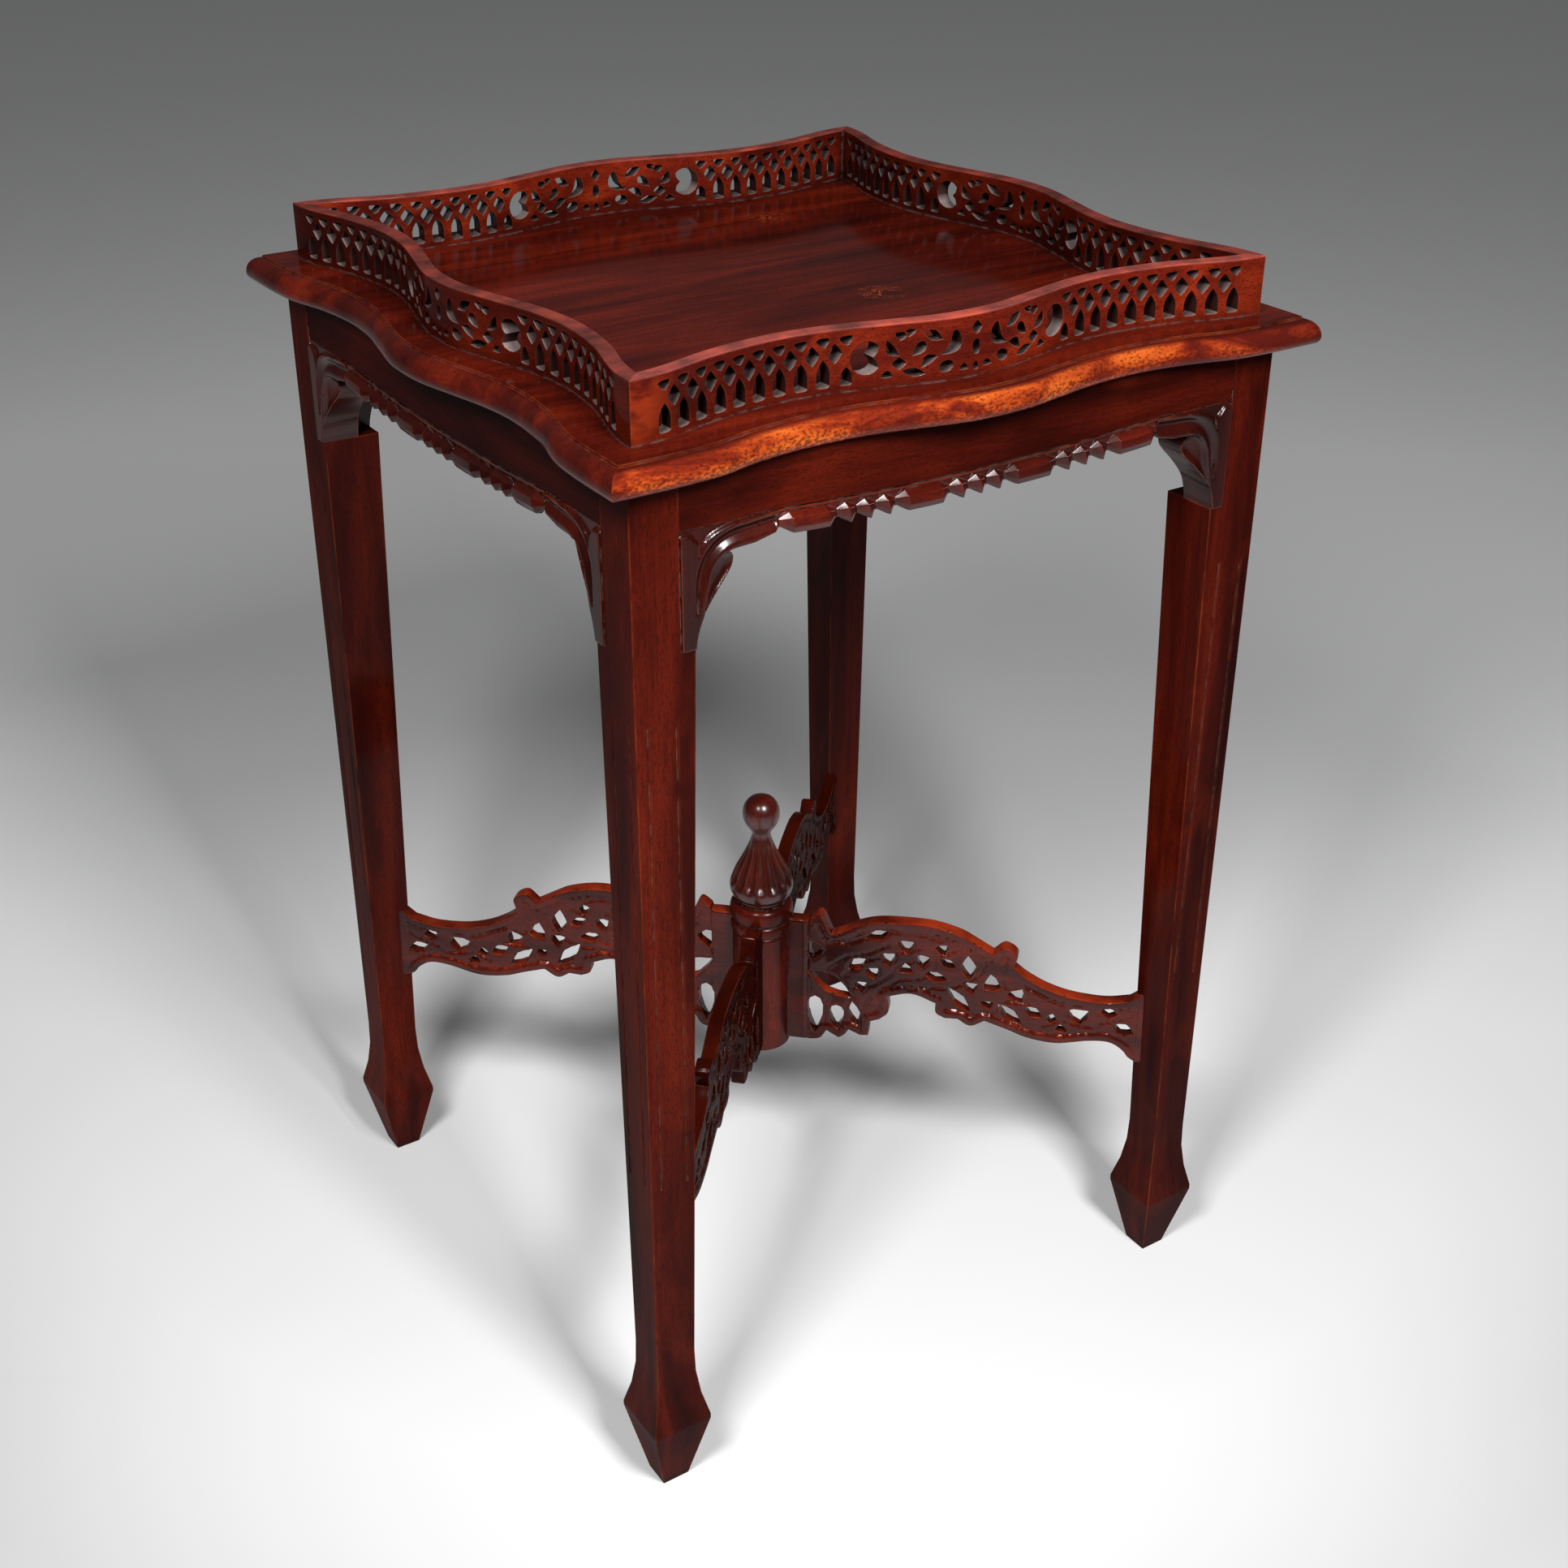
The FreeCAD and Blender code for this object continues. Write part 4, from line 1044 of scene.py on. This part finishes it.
def stretcher_arm():
    """One arm, made along +X in millimetres and then turned on to its diagonal."""
    openings = [opening_path(*opening) for opening in ARM_OPENINGS]
    to_outline = distance_to([closed(ARM_OUTLINE)])
    to_opening = distance_to([closed(path) for path in openings])
    to_stroke = distance_to([traced(stroke[0], stroke[1:]) for stroke in ARM_STROKES])

    def depth(point):
        rim = to_outline(point)
        hole = to_opening(point)
        sunk = eased(rim, ARM_EDGE) + eased(hole, HOLE_EDGE)
        if point.x < ARM_STILE:
            return sunk + gouged(abs(point.x - ARM_STILE + STILE_GROOVE), STILE_GROOVE, STILE_GROOVE_DEPTH)
        inside = min(1.0, max(0.0, (rim - ARM_RIM) / GROUND_SLOPE))
        fade = min(1.0, (point.x - ARM_STILE) / CARVING_FADE)
        border = gouged(abs(rim - ARM_RIM - BORDER_INSET), STROKE_WIDTH, GROUND_DEPTH)
        sunk += fade * (GROUND_DEPTH * inside + border)
        sunk += HOLE_DISH * max(0.0, 1 - hole / HOLE_DISH_REACH) ** 2
        return sunk + fade * gouged(to_stroke(point), STROKE_WIDTH, STROKE_DEPTH)

    bm = carved_board(ARM_OUTLINE, openings, ARM_GRID, ARM_EDGE, ARM_THICKNESS,
                      lambda point: depth(point) - ARM_THICKNESS / 2,
                      lambda point: ARM_THICKNESS / 2 - depth(point))
    bmesh.ops.rotate(bm, cent=(0, 0, 0), matrix=Matrix.Rotation(math.radians(225), 3, "Z"), verts=bm.verts)
    return as_mesh(bm, "arm")


arm_mesh = stretcher_arm()
place_round(arm_mesh, "pierced_arm_", ARM_GRAIN, "stretcher_arm_", CORNERS)
print("arm faces:", len(arm_mesh.polygons))

# %% [markdown]
# Each bracket is a leaf standing on the ledge of the leg, with a scroll that runs on to the rope. The
# scroll is a channel that turns down into the stem, the leaf is a spoon set back behind the stem, and
# below the apron's edge the leaf reaches further back than the scroll.

# %% Lines of a corner bracket, in millimetres out from the leg and up from the ledge
BRACKET_OUTLINE = traced(
    (0, 0), [(8.5, 0)], [(9.4, 6), (13, 16), (21, 26), (29, 34)], [(33, 39), (33.5, 45), (29, 49.4)],
    [(44, 50.6)], [(56.5, 53.4)], [(58.2, 56)], [(58.2, 65)], [(0, 65)])
NOTCH = traced((-6, 62.2), [(0, 62.2)], [(5.6, 62.4), (10.2, 57.5)], [(11.2, 50)],
               [(13.4, 55.5), (18, 60), (28, 63.2), (42, 64.6), (60, 65.4)], [(60, 80)], [(-6, 80)])
CHANNEL = traced((56, 59.5), [(44, 58.6), (32, 57.6), (23, 54.4), (16.5, 48), (13, 40), (10.8, 30),
                              (9.5, 20)])
STEM_EDGE = traced((9.5, 4), [(13, 16), (16.5, 30), (18.5, 40), (24, 47.6), (30, 50)])
BRACKET_THICK = 24.4
SCROLL_THICK = 10.8

# %% Carve the brackets
NOTCH_DEPTH = 2.0
NOTCH_SLOPE = 1.6
CHANNEL_WIDTH = 5.0
CHANNEL_NARROWEST = 1.2
CHANNEL_TAPER = 0.18
CHANNEL_TAPERS_BELOW = 42
CHANNEL_DEPTH = 2.8
CHANNEL_FOOT = 12
CHANNEL_FADE = 18
SPOON_TOP = 51
SPOON_TOP_FADE = 2.5
SPOON_SIDE_FADE = 1.8
SPOON_DEPTH = 1.8
SPOON_LEAN = 0.28
SPOON_DISH = 1.3
SPOON_DISH_REACH = 5
SPOON_LIP = 0.8
SPOON_LIP_REACH = 1.6
BRACKET_GRID = 0.8
BRACKET_EDGE = 0.8


def corner_bracket():
    """The left bracket of the front, in millimetres from the foot of the leaf."""
    to_outline = distance_to([closed(BRACKET_OUTLINE)])
    to_channel = distance_to([CHANNEL])
    to_stem = distance_to([STEM_EDGE])
    to_notch = distance_to([closed(NOTCH)])
    apron_low = (APRON_EDGE - LEDGE_HEIGHT) / MM

    def in_notch(point):
        crossings = 0
        for a, b in zip(NOTCH, NOTCH[1:] + NOTCH[:1]):
            if (a.y > point.y) != (b.y > point.y):
                crossings += point.x < a.x + (point.y - a.y) / (b.y - a.y) * (b.x - a.x)
        return crossings % 2 == 1

    def stem_x(z):
        for a, b in zip(STEM_EDGE, STEM_EDGE[1:]):
            if a.y <= z <= b.y:
                return a.x + (b.x - a.x) * (z - a.y) / (b.y - a.y)
        return STEM_EDGE[0].x if z < STEM_EDGE[0].y else STEM_EDGE[-1].x

    def depth(point):
        edge = to_outline(point)
        width = CHANNEL_WIDTH - max(0.0, CHANNEL_TAPERS_BELOW - point.y) * CHANNEL_TAPER
        width = max(CHANNEL_NARROWEST, width)
        strength = smooth((point.y - CHANNEL_FOOT) / CHANNEL_FADE)
        sunk = eased(edge, BRACKET_EDGE) + strength * gouged(to_channel(point), width, CHANNEL_DEPTH)
        beyond = point.x - stem_x(point.y)
        dish = SPOON_DISH * smooth(edge / SPOON_DISH_REACH)
        lip = SPOON_LIP * smooth(SPOON_LIP_REACH - edge)
        spoon = SPOON_DEPTH + SPOON_LEAN * max(0.0, beyond) + dish - lip
        low = smooth((SPOON_TOP - point.y) / SPOON_TOP_FADE)
        sunk += smooth(0.5 + beyond / SPOON_SIDE_FADE) * low * spoon
        away = -to_notch(point) if in_notch(point) else to_notch(point)
        return sunk + smooth(0.5 - away / NOTCH_SLOPE) * (NOTCH_DEPTH - sunk)

    bm = carved_board(BRACKET_OUTLINE, [], BRACKET_GRID, BRACKET_EDGE, BRACKET_THICK, depth,
                      lambda point: SCROLL_THICK if point.y > apron_low else BRACKET_THICK)
    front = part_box("bracket_front_left")[0].y
    bmesh.ops.translate(bm, vec=(-LEG_JOINT, front, LEDGE_HEIGHT), verts=bm.verts)
    return as_mesh(bm, "bracket")


bracket_mesh = corner_bracket()
mirrored_mesh = bracket_mesh.copy()
mirrored_mesh.transform(Matrix.Scale(-1, 4, (1, 0, 0)))
mirrored_mesh.flip_normals()
for quarters, side in enumerate(SIDES):
    for half, other in ((bracket_mesh, SIDES[quarters - 1]), (mirrored_mesh, SIDES[(quarters + 1) % 4])):
        name = "bracket_" + side + "_" + other
        place_piece(quarter_turned(half, quarters), "carved_" + name, CARVED_GRAIN, name)
print("bracket faces:", len(bracket_mesh.polygons))

# %% [markdown]
# Hub and finial come off the lathe, so both are a section spun round one line. The bell of the finial
# was then carved with sixteen shallow flutes whose lower ends are round. The rings of the spin carry
# enough vertices for the flutes, and a formula sinks them.

# %% Hub and finial
FLUTES = 16
TURNED_STEPS = FLUTES * 12
# radius and height in millimetres
HUB_SECTION = ((19, 139), (20.0, 139.6), (20.3, 141), (20.3, 229.5), (19.9, 231.3), (19.2, 232),
               (19.4, 233), (20.9, 233.6), (21.4, 235.2), (21.4, 238.6), (20.8, 240.4), (19.7, 241.3),
               (19.7, 242.4), (21.2, 243.2), (22.0, 245.4), (22.0, 250), (21.5, 252.6), (20, 254.6),
               (17.4, 256))
FINIAL_SECTION = ((16.6, 256), (17.6, 256.8), (18.0, 258.7), (18.1, 259.8), (19.6, 260.9), (21.0, 262.6),
                  (21.8, 265), (22.0, 267.6), (21.6, 270), (20.9, 272.4), (20.1, 274.6), (19.1, 277.2),
                  (18.0, 280), (16.4, 283.2), (14.8, 286.2), (13.3, 289.2), (11.8, 292.2), (10.3, 295.4),
                  (9.0, 298.5), (7.9, 301.6), (7.0, 304.4), (6.5, 306.6), (6.6, 308.6), (7.7, 311.2),
                  (9.8, 314), (11.5, 317), (12.5, 320), (12.8, 323.4), (12.5, 326.6), (11.5, 329.7),
                  (9.8, 332.4), (7.4, 334.6), (4.2, 336), (1.6, 336.5))
FLUTE_LOW = 269.5
FLUTE_HIGH = 303.0
FLUTE_ROUND = 5.0
FLUTE_STARTS_OVER = 3.2
FLUTE_ENDS_OVER = 8
FLUTE_DEPTH = 0.12
FLUTE_FULLNESS = 0.7


def spun(section, carve=None):
    """A section of radii and heights spun round the Z axis, and carved on the way."""
    def ring_at(radius, height):
        def place(step):
            angle = math.tau * step / TURNED_STEPS
            reach = radius - (carve(angle, radius, height) if carve else 0)
            return Vector((reach * math.cos(angle), reach * math.sin(angle), height)) * MM
        return place

    bm = bmesh.new()
    grown_solid(bm, TURNED_STEPS, [ring_at(*point) for point in section])
    return bm


def flute(angle, radius, height):
    """Depth of the flutes of the bell."""
    across = (angle * FLUTES / math.tau) % 1 * 2 - 1
    low = FLUTE_LOW + FLUTE_ROUND * (1 - math.sqrt(1 - min(1, across * across)))
    into = min(1.0, max(0.0, (height - low) / FLUTE_STARTS_OVER))
    into *= min(1.0, max(0.0, (FLUTE_HIGH - height) / FLUTE_ENDS_OVER))
    return FLUTE_DEPTH * radius * into * (1 - across * across) ** FLUTE_FULLNESS


place_piece(as_mesh(spun(HUB_SECTION), "hub"), "turned_hub", HUB_GRAIN, "stretcher_hub")
place_piece(as_mesh(spun(FINIAL_SECTION, flute), "finial"), "fluted_finial", TURNED_GRAIN, "finial")
print("hub and finial turned")

# %% [markdown]
# The table stands on a pale studio floor that falls away to grey behind it. The floor is so large
# that it fills the picture, and its colour follows the distance from the table, in metres away from
# the camera, with a painted pool of light about the feet that leaves the floor darker to either side in
# front. Its farthest part also glows a little, but only for the camera and for reflections, which a
# Light Path node tells apart, so the table gets no light from it and keeps its own shadow.

# %% The floor
CAMERA_AZIMUTH = -33.535
FLOOR_HALF = 14
FLOOR_FROM = -1.0
FLOOR_REACH = 4.0
FLOOR_SHADES = ((-0.4, 0.88), (-0.12, 0.82), (0.12, 0.86), (0.38, 0.94), (0.7, 0.98), (1.05, 0.97),
                (1.4, 0.98), (2.5, 0.98))
FLOOR_GLOW = ((0.9, 0.0), (1.6, 0.055), (3.0, 0.055))
POOL_CENTRE = 0.15
POOL_WIDTH = 0.87
LIGHT_POOL_SHADES = ((0.30, 1.0), (0.45, 0.95), (0.53, 0.85), (0.63, 0.70), (0.80, 0.62))


def studio_floor():
    """A wide floor, pale near the table and grey far behind it, with a painted pool of light about the feet.
    """
    bm = bmesh.new()
    bmesh.ops.create_grid(bm, x_segments=2, y_segments=2, size=FLOOR_HALF)
    mesh = bpy.data.meshes.new("floor")
    bm.to_mesh(mesh)
    bm.free()
    floor = put_in_scene("floor", mesh)
    paper, tree, shader = new_material("studio_paper")
    place = add(tree, "ShaderNodeTexCoord").outputs["Object"]
    towards = (0, 0, math.radians(-CAMERA_AZIMUTH))
    turned = add(tree, "ShaderNodeMapping", {"Vector": place, "Rotation": towards}).outputs["Vector"]
    away = calculated(tree, "SUBTRACT", parts_of(tree, turned)["Y"], FLOOR_FROM)
    away = calculated(tree, "DIVIDE", away, FLOOR_REACH, clamp=True)

    def along(stops):
        return ramp(tree, away, *[((place - FLOOR_FROM) / FLOOR_REACH, shade) for place, shade in stops])

    # A painted pool of light: brightest about the feet and darker to either side in front.
    light_pool = add(tree, "ShaderNodeMapping", {"Vector": turned, "Location": (0, -POOL_CENTRE, 0),
                                           "Scale": (POOL_WIDTH, 1, 1)})
    light_pool = ramp(tree, distance_from(tree, light_pool.outputs["Vector"], (0, 0, 0)), *LIGHT_POOL_SHADES)
    far = along(FLOOR_SHADES)
    near = ramp(tree, away, (0.20, 1), (0.30, 0))
    rays = add(tree, "ShaderNodeLightPath").outputs
    seen = calculated(tree, "ADD", rays["Is Camera Ray"], rays["Is Glossy Ray"], clamp=True)
    colour = blended(tree, near, far, blended(tree, 1.0, far, light_pool, "MULTIPLY"))
    glow = times(tree, along(FLOOR_GLOW), seen)
    fill_in(tree, shader.inputs, {"Base Color": colour, "Emission Color": (1, 1, 1, 1),
                                  "Emission Strength": glow, "Roughness": 0.7, "Specular IOR Level": 0.2})
    mesh.materials.append(paper)


studio_floor()
print("floor laid")

# %% [markdown]
# The camera stands where the photographer stood: its place and lens were worked out from the square
# plan and the upright legs of the table.

# %% Camera
CAMERA_PLACE = Vector((-681.9, -1056.9, 1035.4)) * MM
CAMERA_ELEVATION = 28.745
CAMERA_ROLL = 0.171
SENSOR_WIDTH = 36.0
FOCAL_PIXELS = 2618.4
PICTURE_WIDTH = 1932
FARTHEST_SEEN = 100

lens = bpy.data.cameras.new("photographer")
lens.sensor_width = SENSOR_WIDTH
lens.lens = SENSOR_WIDTH * FOCAL_PIXELS / PICTURE_WIDTH
lens.clip_end = FARTHEST_SEEN
camera = put_in_scene("photographer", lens)
azimuth = math.radians(CAMERA_AZIMUTH)
elevation = math.radians(CAMERA_ELEVATION)
back = Vector((math.sin(azimuth) * math.cos(elevation), -math.cos(azimuth) * math.cos(elevation),
               math.sin(elevation)))
camera.rotation_mode = "QUATERNION"
camera.location = CAMERA_PLACE
upright = (-back).to_track_quat("-Z", "Y")
camera.rotation_quaternion = upright @ Matrix.Rotation(math.radians(CAMERA_ROLL), 3, "Z").to_quaternion()
bpy.context.scene.camera = camera
print("lens:", round(lens.lens, 2), "mm")

# %% [markdown]
# Two soft boxes light the table, one on either side of the camera and a little above it, so each leg
# throws two soft shadows back over the floor. Upright boxes give the long soft glints that run down
# polished legs. The world adds only enough to keep the darkest sides readable.

# %% Lights
LIT_MIDDLE = Vector((0, 0, 0.40))
BOX_SIZE = (0.34, 0.46)
BOXES = (("left_box", (-0.93, -0.72, 1.55), 22), ("right_box", (-0.18, -1.30, 1.55), 31))
SKY = (0.9, 0.92, 0.95, 1)
SKY_STRENGTH = 0.06

for name, place, watts in BOXES:
    lamp = bpy.data.lights.new(name, "AREA")
    lamp.shape = "RECTANGLE"
    lamp.size, lamp.size_y = BOX_SIZE
    lamp.energy = watts
    box = put_in_scene(name, lamp)
    box.location = place
    box.rotation_mode = "QUATERNION"
    box.rotation_quaternion = (LIT_MIDDLE - Vector(place)).to_track_quat("-Z", "Y")

world = bpy.data.worlds.new("studio")
world.use_nodes = True
sky = world.node_tree.nodes["Background"]
fill_in(world.node_tree, sky.inputs, {"Color": SKY, "Strength": SKY_STRENGTH})
bpy.context.scene.world = world
bpy.context.scene.view_settings.view_transform = "Standard"
print("soft boxes:", len(BOXES))
